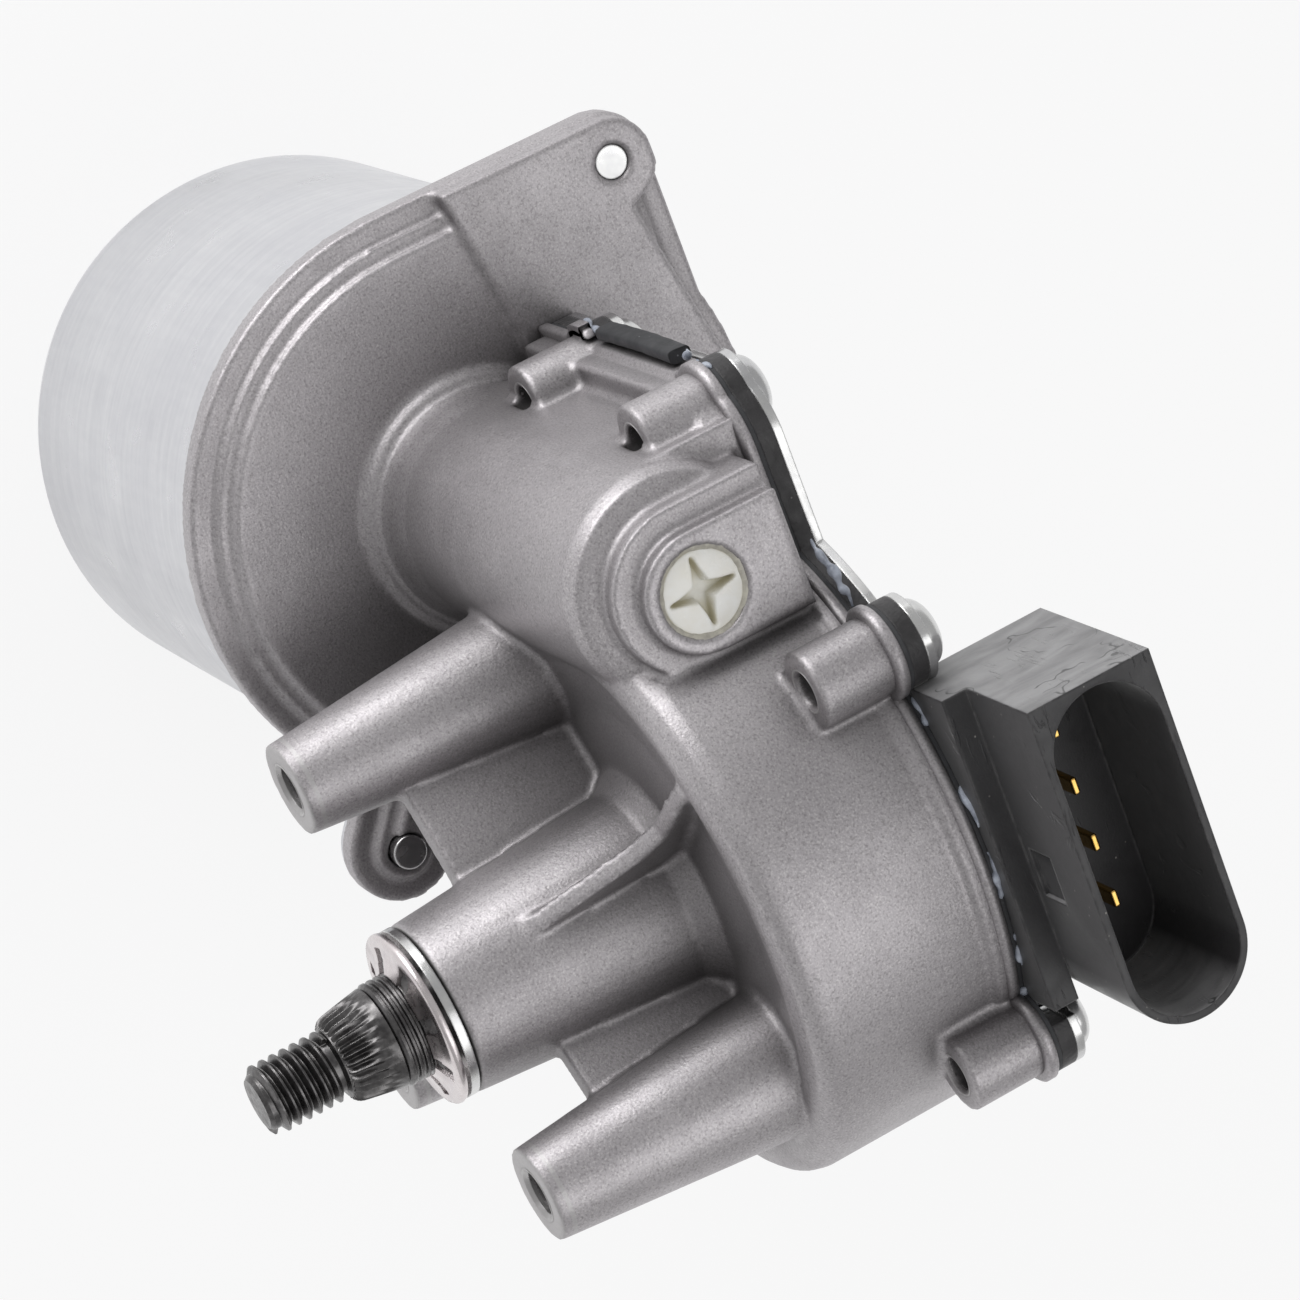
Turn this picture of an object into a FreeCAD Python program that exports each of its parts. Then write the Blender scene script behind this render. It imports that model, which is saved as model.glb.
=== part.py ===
import FreeCAD, Part
import math
import os
import re

import Sketcher
from FreeCAD import Placement, Rotation, Vector

# Wiper motor with worm gearbox, millimetres.
# The output shaft lies along Y and its threaded end points to -Y.
# The motor shaft lies along Z, with the motor can at the bottom and the thrust screw at the top.
# The origin is on the output axis, where the M8 stud leaves the splined taper.

SIZES = [
    # gear train
    ("worm_radius", 5.0, "pitch radius of the worm"),
    ("shaft_distance", "=wheel_teeth * tooth_module / 2 + worm_radius", "worm axis to output axis"),
    ("worm_level", 49.5, "worm axis above the stud root, along Y"),
    ("tooth_module", 1.0, "module of worm and wheel"),
    ("wheel_teeth", 62, "teeth of the worm wheel"),
    ("tooth_backlash", 0.3, "play between worm thread and wheel tooth, along the pitch line"),
    ("wheel_width", 9.0, "face width of the worm wheel"),
    ("wheel_web", 4.0, "thickness of the wheel between hub and rim"),
    ("wheel_rim", 5.0, "thickness of the rim under the teeth"),
    ("hub_radius", 10.0, "outer radius of the steel hub"),
    ("threads_below", 3, "whole worm threads below the output axis"),
    ("threads_total", 6, "turns of the worm thread"),
    ("pressure_slope", 0.36397, "tangent of the pressure angle"),
    ("park_inner", 13.0, "inner radius of the park contact disc"),
    ("park_outer", 24.5, "outer radius of the park contact disc"),
    ("park_thickness", 0.5, "thickness of the park contact disc"),
    # output shaft
    ("stud_radius", 4.0, "M8 stud, over the thread"),
    ("stud_length", 9.2, "stud from root to tip"),
    ("taper_small", 4.7, "splined taper, radius at the stud"),
    ("taper_large", 5.8, "splined taper, radius at the journal"),
    ("taper_length", 5.6, "length of the splined taper"),
    ("journal_radius", 6.0, "output shaft in its bushes"),
    ("shaft_end", 56.5, "inner end of the output shaft"),
    # cast housing
    ("casting_wall", 2.2, "wall of the casting"),
    ("boss_front", 12.2, "outer end of the shaft boss"),
    ("boss_tip_radius", 9.9, "shaft boss at its outer end"),
    ("boss_root_radius", 12.4, "shaft boss at the bowl"),
    ("bush_bore", 8.0, "bore of the casting that holds the bushes"),
    ("bowl_gap", 0.6, "free space around the worm wheel"),
    ("bowl_radius", "=(wheel_teeth / 2 + 1) * tooth_module + bowl_gap + casting_wall",
     "outside of the gear bowl"),
    ("bowl_front", 39.0, "front face of the gear bowl"),
    ("bowl_dish", 2.0, "how far that face dips towards the shaft boss"),
    ("bowl_round", 3.0, "rounding of the bowl's front edge"),
    ("rim_level", 63.0, "joint face of the casting towards the cover"),
    ("rim_lip", 0.6, "how far the joint rim stands out"),
    ("rim_height", 2.4, "height of the joint rim on the bowl"),
    ("lip_width", 1.5, "upright lip of the joint rim beside the worm"),
    ("lip_top", 3.0, "upper end of that lip, Z"),
    ("ledge_height", 4.0, "height of the joint rim above the worm tube"),
    ("tube_radius", 12.5, "outside of the worm tube"),
    ("tube_top", 17.5, "upper end of the worm tube"),
    ("chamber_inset", 1.8, "lower end of the worm chamber inside the bowl's lowest point"),
    ("chamber_bottom", "=-(bowl_radius - chamber_inset)", "lower end of the worm chamber"),
    ("chamber_top", 14.0, "upper end of the worm chamber"),
    ("chamber_round", 6.6, "rounding of the chamber's upper corner"),
    ("thrust_round", 6.6, "radius of the thrust screw's boss"),
    ("thrust_step", 9.2, "radius of the step under the thrust screw's boss"),
    ("thrust_face", 22.5, "outer face of the thrust screw's boss"),
    ("thrust_step_face", 20.2, "face of the step under it"),
    ("thrust_gap", 2.5, "thrust screw's boss short of the joint face"),
    # mounting posts
    ("post_front", 10.8, "seat plane of the three mounting posts"),
    ("post_tip_radius", 5.3, "post at its seat"),
    ("post_root_radius", 8.3, "post at its root"),
    ("post_root", 42.0, "level of the post's root"),
    ("post_a_x", -23.6, "post beside the worm tube, X"),
    ("post_a_z", -15.8, "post beside the worm tube, Z"),
    ("post_b_x", 17.2, "post on the thrust screw's side, X"),
    ("post_b_z", 15.9, "post on the thrust screw's side, Z"),
    ("post_c_x", 12.9, "post on the motor's side, X"),
    ("post_c_z", -21.0, "post on the motor's side, Z"),
    ("post_thread_radius", 2.5, "core of the M6 thread"),
    ("post_a_depth", 20.0, "depth of the M6 thread beside the worm tube"),
    ("post_b_depth", 22.0, "depth of the M6 thread on the thrust screw's side"),
    ("post_c_depth", 18.0, "depth of the M6 thread on the motor's side"),
    ("web_front", 21.2, "free edge of the webs between boss and posts"),
    ("web_thickness", 3.2, "thickness of those webs"),
    # motor flange
    ("face_gap", 0.2, "flange's raised face under the bowl's lowest point"),
    ("flange_front", "=-(bowl_radius + face_gap + face_rise)", "front of the flange's edge"),
    ("flange_thickness", 3.0, "thickness of the flange's edge"),
    ("flange_radius", 34.6, "radius of the flange"),
    ("face_rise", 2.0, "raised face of the flange"),
    ("face_inset", 4.6, "raised face inside the flange's edge"),
    ("terrace_rise", 0.9, "step between edge and raised face"),
    ("terrace_inset", 2.9, "that step inside the flange's edge"),
    ("plate_rise", 0.9, "corner plate above the raised face"),
    ("plate_end", -34.0, "end of the corner plate, X"),
    ("plate_near", 56.8, "side of the corner plate at the flange's edge, Y"),
    ("plate_far", 62.6, "the same side at the plate's end, Y"),
    ("band_near", 77.7, "ledge along the plate's other side, at the screw pad, Y"),
    ("band_far", 82.9, "the same ledge at the plate's end, Y"),
    ("corner_round", 5.4, "rounding of the flange's square corner"),
    ("corner_inset", 1.6, "square corner inside the flange's circle, along Y"),
    ("lug_radius", 6.3, "screw lug opposite the square corner"),
    ("lug_x", -3.3, "screw lug, X"),
    ("lug_y", 25.5, "screw lug, Y"),
    ("collar_radius", 15.2, "foot of the worm tube on the flange"),
    ("collar_step", 13.8, "upper step of that foot"),
    ("collar_height", 6.0, "height of that foot"),
    # cover and its screws
    ("top_screw_x", -48.4, "the two cover screws above the worm, X"),
    ("top_screw_low", -22.2, "lower of those, Z"),
    ("top_screw_high", 7.4, "upper of those, Z"),
    ("screw_standoff", 2.6, "cover screws outside the bowl's wall"),
    ("side_screw_cos", -0.637, "direction of the cover screw beside the connector, X"),
    ("side_screw_sin", 0.771, "direction of the cover screw beside the connector, Z"),
    ("far_screw_cos", 0.572, "direction of the cover screw beyond the connector, X"),
    ("far_screw_sin", 0.820, "direction of the cover screw beyond the connector, Z"),
    ("back_screw_cos", 0.811, "direction of the cover screw on the motor's side, X"),
    ("back_screw_sin", -0.585, "direction of the cover screw on the motor's side, Z"),
    ("screw_boss_radius", 4.3, "boss of a cover screw"),
    ("screw_boss_front", 53.5, "free end of the screw bosses"),
    ("screw_radius", 1.9, "shank of a cover screw"),
    ("screw_head_radius", 3.8, "head of a cover screw"),
    ("screw_head_height", 2.4, "height of that head"),
    ("screw_length", 11.0, "cover screw under its head"),
    ("gasket_thickness", 0.6, "sealing strip between casting and contact plate"),
    ("plate_thickness", 1.9, "contact plate"),
    ("cover_thickness", 1.0, "steel cover"),
    # connector
    ("connector_half", 19.5, "half the connector's width along X"),
    ("connector_overlap", 6.8, "how far the connector reaches in over the bowl"),
    ("connector_length", 22.5, "length of the connector"),
    ("connector_low", 66.6, "side of the connector towards the gearbox, Y"),
    ("connector_depth", 14.7, "thickness of the connector along Y"),
    ("connector_wall", 1.8, "wall of the connector"),
    ("socket_depth", 17.5, "depth of the socket"),
    ("foot_reach", 2.8, "connector's foot outside the bowl"),
    ("foot_cut", 2.3, "connector's foot short of the cover screw's head"),
    ("pin_pitch", 6.6, "pitch of the connector pins"),
    ("pin_width", 2.8, "width of a pin"),
    ("pin_thickness", 0.8, "thickness of a pin"),
    ("pin_length", 10.0, "length of a pin"),
    # motor
    ("can_radius", 32.4, "outside of the motor can"),
    ("can_wall", 1.9, "wall of the motor can"),
    ("winding_room", 3.6, "free length between the windings and the can's end wall"),
    ("can_round", 4.5, "rounding of the can's closed end"),
    ("ear_thickness", 1.8, "flange of the can"),
    ("magnet_thickness", 5.2, "field magnet"),
    ("magnet_length", 44.0, "length of the field magnets"),
    ("magnet_span", 125.0, "angle of a field magnet"),
    ("air_gap", 0.8, "between magnets and armature"),
    ("core_length", 36.0, "armature core"),
    ("core_gap", 4.5, "between commutator and armature core"),
    ("core_slots", 12, "slots of the armature core"),
    ("slot_mouth", 2.2, "mouth of a slot"),
    ("slot_depth", 11.0, "depth of a slot"),
    ("slot_width", 7.2, "width of a slot under its mouth"),
    ("motor_shaft_radius", 4.0, "motor shaft"),
    ("shaft_end_gap", 0.6, "motor shaft above the can's end wall"),
    ("tip_radius", 3.0, "motor shaft beyond the worm"),
    ("tip_end", 16.2, "upper end of the motor shaft"),
    ("rear_bush_radius", 6.6, "rear bush of the motor shaft"),
    ("bead_width", 2.7, "bead that is pressed into the can around the rear bush"),
    ("bead_height", 3.5, "height of that bead"),
    ("winding_end", 6.5, "how far the windings stand out of the core"),
    ("commutator_radius", 11.0, "commutator"),
    ("commutator_bore", 6.5, "insulating hub of the commutator"),
    ("commutator_drop", 5.0, "commutator below the front of the flange's edge"),
    ("commutator_top", "=flange_front - commutator_drop", "upper end of the commutator"),
    ("commutator_length", 9.5, "length of the commutator"),
    ("commutator_bars", 12, "bars of the commutator"),
    ("brush_width", 6.0, "width of a brush"),
    ("brush_height", 5.0, "height of a brush along Z"),
    ("brush_length", 9.0, "length of a brush"),
    ("worm_bore", 8.0, "bore of the worm tube"),
    ("running_gap", 0.03, "radial clearance of the shafts in their bushes"),
    ("motor_screw_radius", 2.0, "screws that hold the can"),
    ("motor_screw_head", 4.0, "hexagon head of those screws, corner radius"),
    ("motor_screw_head_height", 3.0, "height of that head"),
    ("clip_radius", 10.1, "retaining clip on the output shaft"),
    ("clip_thickness", 0.8, "sheet of the retaining clip"),
    ("front_bush_length", 10.0, "outer bush of the output shaft"),
    ("rear_bush_length", 12.0, "inner bush of the output shaft"),
    ("neck_bush_length", 9.0, "bush of the motor shaft in the worm tube"),
    ("tip_bush_length", 4.0, "bush of the motor shaft beyond the worm"),
    ("motor_bush_length", 5.2, "bush of the motor shaft in the can"),
    ("choke_radius", 3.0, "choke"),
    ("choke_length", 6.2, "length of a choke"),
    ("washer_thickness", 1.0, "washers of the output shaft"),
    ("end_play", 0.2, "axial play of the output shaft"),
    ("flap_length", 19.5, "rubber drain flap along Z"),
    ("flap_top", 1.0, "upper end of the drain flap"),
    ("flap_thickness", 1.8, "thickness of the drain flap"),
    ("flap_height", 2.8, "drain flap across the joint"),
    ("finger_width", 2.4, "width of a contact finger"),
    ("finger_sheet", 0.4, "sheet of a contact finger"),
]

doc = FreeCAD.newDocument("WiperMotor")
sheet = doc.addObject("Spreadsheet::Sheet", "Sizes")
for row, (alias, amount, meaning) in enumerate(SIZES, start=1):
    sheet.set("A%d" % row, meaning)
    sheet.setAlias("B%d" % row, alias)
for row, (alias, amount, meaning) in enumerate(SIZES, start=1):
    sheet.set("B%d" % row, str(amount))
doc.recompute()
ALIASES = {alias for alias, amount, meaning in SIZES}

# Places that several pieces share, as text for expressions.
WORM_X = "-shaft_distance"
WORM_Y = "worm_level"
FLANGE_BACK = "(flange_front - flange_thickness)"
FACE = "(flange_front + face_rise)"
PLATE_LOW = "(rim_level + gasket_thickness)"
COVER_LOW = "(rim_level + gasket_thickness + plate_thickness)"
COVER_TOP = "(rim_level + gasket_thickness + plate_thickness + cover_thickness)"
CORE_BOTTOM = "(commutator_top - commutator_length - core_gap - core_length)"
CAN_FLOOR = "(commutator_top - commutator_length - core_gap - core_length - winding_end - winding_room)"
CAN_END = "(%s - can_wall)" % CAN_FLOOR
CAN_LENGTH = "(%s - %s)" % (FLANGE_BACK, CAN_END)
CONNECTOR_BACK = "(bowl_radius - connector_overlap)"
CONNECTOR_FRONT = "(bowl_radius - connector_overlap + connector_length)"
SOCKET_FLOOR = "(bowl_radius - connector_overlap + connector_length - socket_depth)"
FOOT_FRONT = "(bowl_radius + foot_reach)"
BOWL_INNER = "(bowl_radius - casting_wall)"
CHAMBER_SIDE = "(shaft_distance + tube_radius)"
LEDGE_X = "(top_screw_x - screw_boss_radius + lip_width)"
PITCH = "(3.14159265 * tooth_module)"
WORM_RADIUS = "worm_radius"
FINGER_ROOT = "(bowl_radius - connector_overlap - 2)"
WORM_BOTTOM = "(-(threads_below + 0.5) * 3.14159265 * tooth_module)"
WORM_TOP = "((threads_total - threads_below - 0.5) * 3.14159265 * tooth_module)"
CAN_INNER = "(can_radius - can_wall)"
CORE_RADIUS = "(can_radius - can_wall - magnet_thickness - air_gap)"
WHEEL_LOW = "(worm_level - wheel_width / 2)"
WHEEL_TOP = "(worm_level + wheel_width / 2)"
BUSH_END = "(worm_level - wheel_width / 2 - washer_thickness - end_play)"
COVER_SCREWS = [
    ("top_screw_x", "top_screw_low"),
    ("top_screw_x", "top_screw_high"),
] + [("(bowl_radius + screw_standoff) * %s_cos" % name,
      "(bowl_radius + screw_standoff) * %s_sin" % name)
     for name in ("side_screw", "far_screw", "back_screw")]
POSTS = [("post_a_x", "post_a_z"), ("post_b_x", "post_b_z"), ("post_c_x", "post_c_z")]
POST_DEPTHS = ["post_a_depth", "post_b_depth", "post_c_depth"]
# The screw in the flange's square corner, and the one in the lug.
CORNER_SCREW = (
    "(-shaft_distance - flange_radius + corner_round)",
    "(worm_level + flange_radius - corner_inset - corner_round)",
)
MOTOR_SCREWS = [CORNER_SCREW, ("lug_x", "lug_y")]

TURNS = {
    "+Z": Rotation(),
    "-Z": Rotation(Vector(1, 0, 0), 180),
    "+Y": Rotation(Vector(1, 0, 0), -90),
    "-Y": Rotation(Vector(1, 0, 0), 90),
}


def size(alias):
    """Value of one cell of the sheet."""
    return float(sheet.get(alias))


def cells(text):
    """Point every alias in an expression at the sheet."""
    return re.sub(r"[a-z_]+",
                  lambda word: "Sizes." + word.group(0) if word.group(0) in ALIASES else word.group(0),
                  text)


def value(text):
    """Number that an expression in the sheet's aliases stands for."""
    numbers = re.sub(r"[a-z_]+", lambda word: repr(size(word.group(0))), text)
    total = FreeCAD.Units.Quantity(numbers)
    return float(total.Value)


def put(item, x="0", y="0", z="0", along="+Z", turn=0.0):
    """Turn an item's Z axis to a direction, turn it about that axis and bind its base point."""
    item.Placement = Placement(Vector(), TURNS[along].multiply(Rotation(Vector(0, 0, 1), turn)))
    for axis, text in zip("xyz", (x, y, z)):
        item.setExpression("Placement.Base." + axis, cells(text))
    return item


def bind(item, **texts):
    """Bind an item's sizes to the sheet."""
    for name, text in texts.items():
        item.setExpression(name, cells(text))
    return item


def cylinder(name, radius, height, x="0", y="0", z="0", along="+Z"):
    return put(bind(doc.addObject("Part::Cylinder", name), Radius=radius, Height=height), x, y, z,
               along)


def cone(name, radius_one, radius_two, height, x="0", y="0", z="0", along="+Z"):
    item = bind(doc.addObject("Part::Cone", name), Radius1=radius_one, Radius2=radius_two,
                Height=height)
    return put(item, x, y, z, along)


def block(name, low, high):
    """Box between two corners, each given as three expressions."""
    item = doc.addObject("Part::Box", name)
    for prop, a, b in zip(("Length", "Width", "Height"), low, high):
        item.setExpression(prop, cells("(%s) - (%s)" % (b, a)))
    return put(item, *low)


def fuse(name, items):
    item = doc.addObject("Part::MultiFuse", name)
    item.Shapes = items
    return item


def group(name, items):
    """Separate solids that share one node."""
    item = doc.addObject("Part::Compound", name)
    item.Links = items
    return item


def cut(name, base, tool):
    item = doc.addObject("Part::Cut", name)
    item.Base = base
    item.Tool = tool
    return item


def common(name, items):
    item = doc.addObject("Part::MultiCommon", name)
    item.Shapes = items
    return item


def rounded(name, base, radius, wanted):
    """Fillet the edges of base that a test picks."""
    doc.recompute()
    edges = [n for n, edge in enumerate(base.Shape.Edges, start=1) if wanted(edge)]
    item = doc.addObject("Part::Fillet", name)
    item.Base = base
    item.Edges = [(n, radius, radius) for n in edges]
    return item


def tube(name, outer, inner, height, x="0", y="0", z="0", along="+Z"):
    ring = cylinder(name + "_outside", outer, height, x, y, z, along)
    hole = cylinder(name + "_inside", inner, height, x, y, z, along)
    return cut(name, ring, hole)


def origin_plane(body, role):
    return next(plane for plane in body.Origin.OriginFeatures if plane.Role == role)


def profile(body, name, points, role="XZ_Plane"):
    """Closed sketch through points given as pairs of expressions, every corner bound to the sheet."""
    sketch = body.newObject("Sketcher::SketchObject", name)
    sketch.AttachmentSupport = [(origin_plane(body, role), "")]
    sketch.MapMode = "FlatFace"
    corners = [Vector(value(a), value(b), 0) for a, b in points]
    count = len(corners)
    for n in range(count):
        sketch.addGeometry(Part.LineSegment(corners[n], corners[(n + 1) % count]), False)
    for n in range(count):
        sketch.addConstraint(Sketcher.Constraint("Coincident", n, 2, (n + 1) % count, 1))
    for n, pair in enumerate(points):
        for kind, number, text in zip(("DistanceX", "DistanceY"), corners[n], pair):
            index = sketch.addConstraint(Sketcher.Constraint(kind, -1, 1, n, 1, number))
            sketch.setExpression("Constraints[%d]" % index, cells(text))
    return sketch


def turned(name, points, x="0", y="0", z="0", along="+Z"):
    """Body of revolution; points are (radius, height) pairs."""
    body = doc.addObject("PartDesign::Body", name)
    sketch = profile(body, name + "_profile", points)
    turn = body.newObject("PartDesign::Revolution", name + "_turn")
    turn.Profile = sketch
    turn.ReferenceAxis = (sketch, ["V_Axis"])
    turn.Angle = 360
    sketch.Visibility = False
    return put(body, x, y, z, along)


def flange_plate(name, grow, low, height):
    """Plate with the outline of the motor flange: a disc, a square corner with a round, and a lug."""
    radius = "(flange_radius + %s)" % grow
    corner_x, corner_y = CORNER_SCREW
    edge_x = "(%s - %s)" % (WORM_X, radius)
    edge_y = "(%s + %s - corner_inset)" % (WORM_Y, radius)
    top = "(%s) + (%s)" % (low, height)
    disc = cylinder(name + "_disc", radius, height, WORM_X, WORM_Y, low)
    side = block(name + "_side", (edge_x, WORM_Y, low), (WORM_X, corner_y, top))
    back = block(name + "_back", (corner_x, WORM_Y, low), (WORM_X, edge_y, top))
    corner = cylinder(name + "_corner", "corner_round + " + grow, height, corner_x, corner_y, low)
    lug = cylinder(name + "_lug", "lug_radius + " + grow, height, "lug_x", "lug_y", low)
    arm = doc.addObject("Part::Box", name + "_arm")
    bind(arm, Length="shaft_distance + lug_x", Width="2 * (lug_radius + %s)" % grow, Height=height)
    lean = math.degrees(math.atan2(value(WORM_Y) - size("lug_y"), value(WORM_X) - size("lug_x")))
    aside = math.radians(lean - 90)
    reach = "(lug_radius + %s)" % grow
    put(arm, "lug_x + %s * %.6f" % (reach, math.cos(aside)),
        "lug_y + %s * %.6f" % (reach, math.sin(aside)), low,
        turn=lean)
    return fuse(name, [disc, side, back, corner, lug, arm])


def ledge(name, grow, low, height):
    """Plate over the worm chamber: straight along the tube, its upper corner rounded."""
    side = "(%s - %s)" % (LEDGE_X, grow)
    centre_x = "(%s + chamber_round)" % LEDGE_X
    centre_z = "(chamber_top - chamber_round)"
    bottom = "(chamber_bottom - %s)" % grow
    inner = "(-bowl_radius / 3)"
    top = "(%s) + (%s)" % (low, height)
    return [
        block(name + "_side", (side, low, bottom), (centre_x, top, centre_z)),
        block(name + "_middle", (centre_x, low, bottom), (inner, top, "chamber_top + " + grow)),
        cylinder(name + "_corner", "chamber_round + " + grow, height, centre_x, low, centre_z, "+Y"),
    ]


def cover_outline(name, grow, low, height):
    """Plate with the outline of the gear housing: round over the wheel, square over the worm."""
    items = [cylinder(name + "_round", "bowl_radius + " + grow, height, "0", low, "0", "+Y")]
    items += ledge(name, grow, low, height)
    for n, (x, z) in enumerate(COVER_SCREWS, start=1):
        items.append(cylinder("%s_boss_%d" % (name, n), "screw_boss_radius + " + grow, height, x, low,
                              z, "+Y"))
    return items


def screw_holes(name, low, height):
    return [cylinder("%s_%d" % (name, n), "screw_radius + 0.1", height, x, low, z, "+Y")
            for n, (x, z) in enumerate(COVER_SCREWS, start=1)]


def connector_notch(name, low, height):
    """Where the plates make room for the connector's foot."""
    return block(name, ("-connector_half - 0.1", low, CONNECTOR_BACK + " - 4"),
                 ("connector_half + 0.1", "(%s) + (%s)" % (low, height), FOOT_FRONT + " + 5"))


def between(name, thickness, front, back, x, z):
    """Flat web from the output axis to a post."""
    item = doc.addObject("Part::Box", name)
    bind(item, Length="sqrt(%s ^ 2 + %s ^ 2)" % (x, z), Width=thickness,
         Height="%s - %s" % (back, front))
    lean = math.degrees(math.atan2(-value(z), value(x)))
    aside = math.radians(-lean)
    half = "%s / 2" % thickness
    return put(item, "%s * %.6f" % (half, -math.sin(aside)), front,
               "%s * %.6f" % (half, math.cos(aside)), "+Y",
               turn=lean)


def gear_housing():
    """Die-cast housing: motor flange, worm tube, gear bowl, shaft boss, posts and screw bosses."""
    floor = "bowl_front + bowl_dish + casting_wall"
    flange = flange_plate("flange_edge", "0", FLANGE_BACK, "flange_thickness")
    terrace = flange_plate("flange_terrace", "(-terrace_inset)", FLANGE_BACK,
                           "flange_thickness + terrace_rise")
    raised = flange_plate("flange_face", "(-face_inset)", FLANGE_BACK, "flange_thickness + face_rise")
    barrel = turned("worm_tube", [
        ("0", FLANGE_BACK),
        ("collar_radius", FLANGE_BACK),
        ("collar_radius", FACE),
        ("collar_radius - 0.5", FACE + " + 0.9"),
        ("collar_step", FACE + " + 1.1"),
        ("collar_step - 0.6", FACE + " + 2.7"),
        ("tube_radius", FACE + " + collar_height"),
        ("tube_radius", "tube_top - 2.4"),
        ("tube_radius - 0.7", "tube_top - 0.7"),
        ("tube_radius - 2.4", "tube_top"),
        ("0", "tube_top"),
    ], WORM_X, WORM_Y)
    bowl = turned("bowl_wall", [
        ("0", "bowl_front + bowl_dish"),
        ("bowl_radius - bowl_round * 4", "bowl_front + bowl_dish"),
        ("bowl_radius - bowl_round * 2.5", "bowl_front + bowl_dish * 0.7"),
        ("bowl_radius - bowl_round * 1.4", "bowl_front"),
        ("bowl_radius - bowl_round", "bowl_front"),
        ("bowl_radius - bowl_round * 0.5", "bowl_front + bowl_round * 0.134"),
        ("bowl_radius - bowl_round * 0.134", "bowl_front + bowl_round * 0.5"),
        ("bowl_radius", "bowl_front + bowl_round"),
        ("bowl_radius", "rim_level"),
        ("0", "rim_level"),
    ], along="+Y")
    chamber = block("chamber_wall", ("-" + CHAMBER_SIDE, WORM_Y, "chamber_bottom"),
                    ("-bowl_radius / 3", "rim_level", "chamber_top"))
    rim = cylinder("bowl_rim", "bowl_radius + rim_lip", "rim_height", "0", "rim_level - rim_height",
                   "0", "+Y")
    shelf = ledge("joint_ledge", "0", "rim_level - ledge_height", "ledge_height")
    boss = cone("shaft_boss", "boss_tip_radius", "boss_root_radius", floor + " - boss_front", "0",
                "boss_front", "0", "+Y")
    flare = cone("boss_flare", "boss_root_radius - 0.2", "boss_root_radius + 1.8", "2.2",
                 "0", "bowl_front + bowl_dish - 2", "0", "+Y")
    lip = block("joint_lip", (LEDGE_X + " - rim_lip", "rim_level - 1", "top_screw_low - 1"),
                (LEDGE_X + " - rim_lip + lip_width", COVER_LOW, "lip_top"))
    step_one = [
        cylinder("thrust_boss", "thrust_round", "thrust_face - chamber_bottom", WORM_X, WORM_Y,
                 "chamber_bottom"),
        block("thrust_block", (WORM_X + " - thrust_round", WORM_Y, "chamber_bottom"),
              (WORM_X + " + thrust_round", "rim_level - thrust_gap", "thrust_face")),
    ]
    step_two = [
        cylinder("thrust_step_boss", "thrust_step", "thrust_step_face - chamber_bottom", WORM_X, WORM_Y,
                 "chamber_bottom"),
        block("thrust_step_block", (WORM_X + " - thrust_step", WORM_Y, "chamber_bottom"),
              (WORM_X + " + thrust_step", "rim_level - thrust_gap", "thrust_step_face")),
    ]
    solids = [flange, terrace, raised, barrel, bowl, chamber, rim, boss, flare,
              lip] + shelf + step_one + step_two
    solids += corner_plate()
    for n, (x, z) in enumerate(COVER_SCREWS, start=1):
        solids.append(cylinder("screw_boss_%d" % n, "screw_boss_radius", "rim_level - screw_boss_front",
                               x, "screw_boss_front", z, "+Y"))
    for n, (x, z) in enumerate(POSTS, start=1):
        solids.append(cone("post_%d" % n, "post_tip_radius", "post_root_radius",
                           "post_root - post_front",
                           x, "post_front", z, "+Y"))
        solids.append(between("post_web_%d" % n, "web_thickness", "web_front", "post_root", x, z))
    solids.append(gusset())
    outside = fuse("casting_outside", solids)
    holes = [
        cylinder("bowl_hollow", BOWL_INNER, "rim_level - bowl_front", "0", floor, "0", "+Y"),
        block("chamber_hollow",
              ("-%s + casting_wall" % CHAMBER_SIDE, WORM_Y, "chamber_bottom + casting_wall"),
              ("-bowl_radius / 3", "rim_level + 1", "chamber_top - casting_wall")),
        cylinder("worm_hollow", "worm_bore", "chamber_top - casting_wall - (%s)" % FLANGE_BACK,
                 WORM_X, WORM_Y, FLANGE_BACK),
        cylinder("tip_bush_hole", "tip_radius + 2.5", "6", WORM_X, WORM_Y, "tip_end - 5.5"),
        cylinder("thrust_hole", "thrust_round - 1.7", "10", WORM_X, WORM_Y, "tip_end + 0.4"),
        cylinder("brush_recess", "can_radius - can_wall - 0.6",
                 "flange_thickness + face_rise - casting_wall",
                 WORM_X, WORM_Y, FLANGE_BACK),
        cylinder("bush_hole", "bush_bore", floor + " - boss_front + 1", "0", "boss_front - 0.5", "0",
                 "+Y"),
    ]
    for n, (x, z) in enumerate(COVER_SCREWS, start=1):
        holes.append(cylinder("cover_screw_hole_%d" % n, "screw_radius",
                              "rim_level - screw_boss_front + 2",
                              x, "screw_boss_front - 1", z, "+Y"))
    holes.append(block("cover_room", (WORM_X + " - collar_radius", "rim_level", FACE + " + plate_rise"),
                       (WORM_X + " + collar_radius", "worm_level + collar_radius + 1",
                        FACE + " + collar_height")))
    for n, ((x, z), depth) in enumerate(zip(POSTS, POST_DEPTHS), start=1):
        holes.append(cylinder("post_thread_%d" % n, "post_thread_radius", depth, x, "post_front", z,
                              "+Y"))
        holes.append(cone("post_mouth_%d" % n, "post_thread_radius + 0.6", "post_thread_radius", "0.6",
                          x, "post_front", z, "+Y"))
    for n, (x, y) in enumerate(MOTOR_SCREWS, start=1):
        holes.append(cylinder("motor_screw_hole_%d" % n, "motor_screw_radius + 0.05", "12", x, y,
                              FLANGE_BACK + " - 1"))
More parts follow.
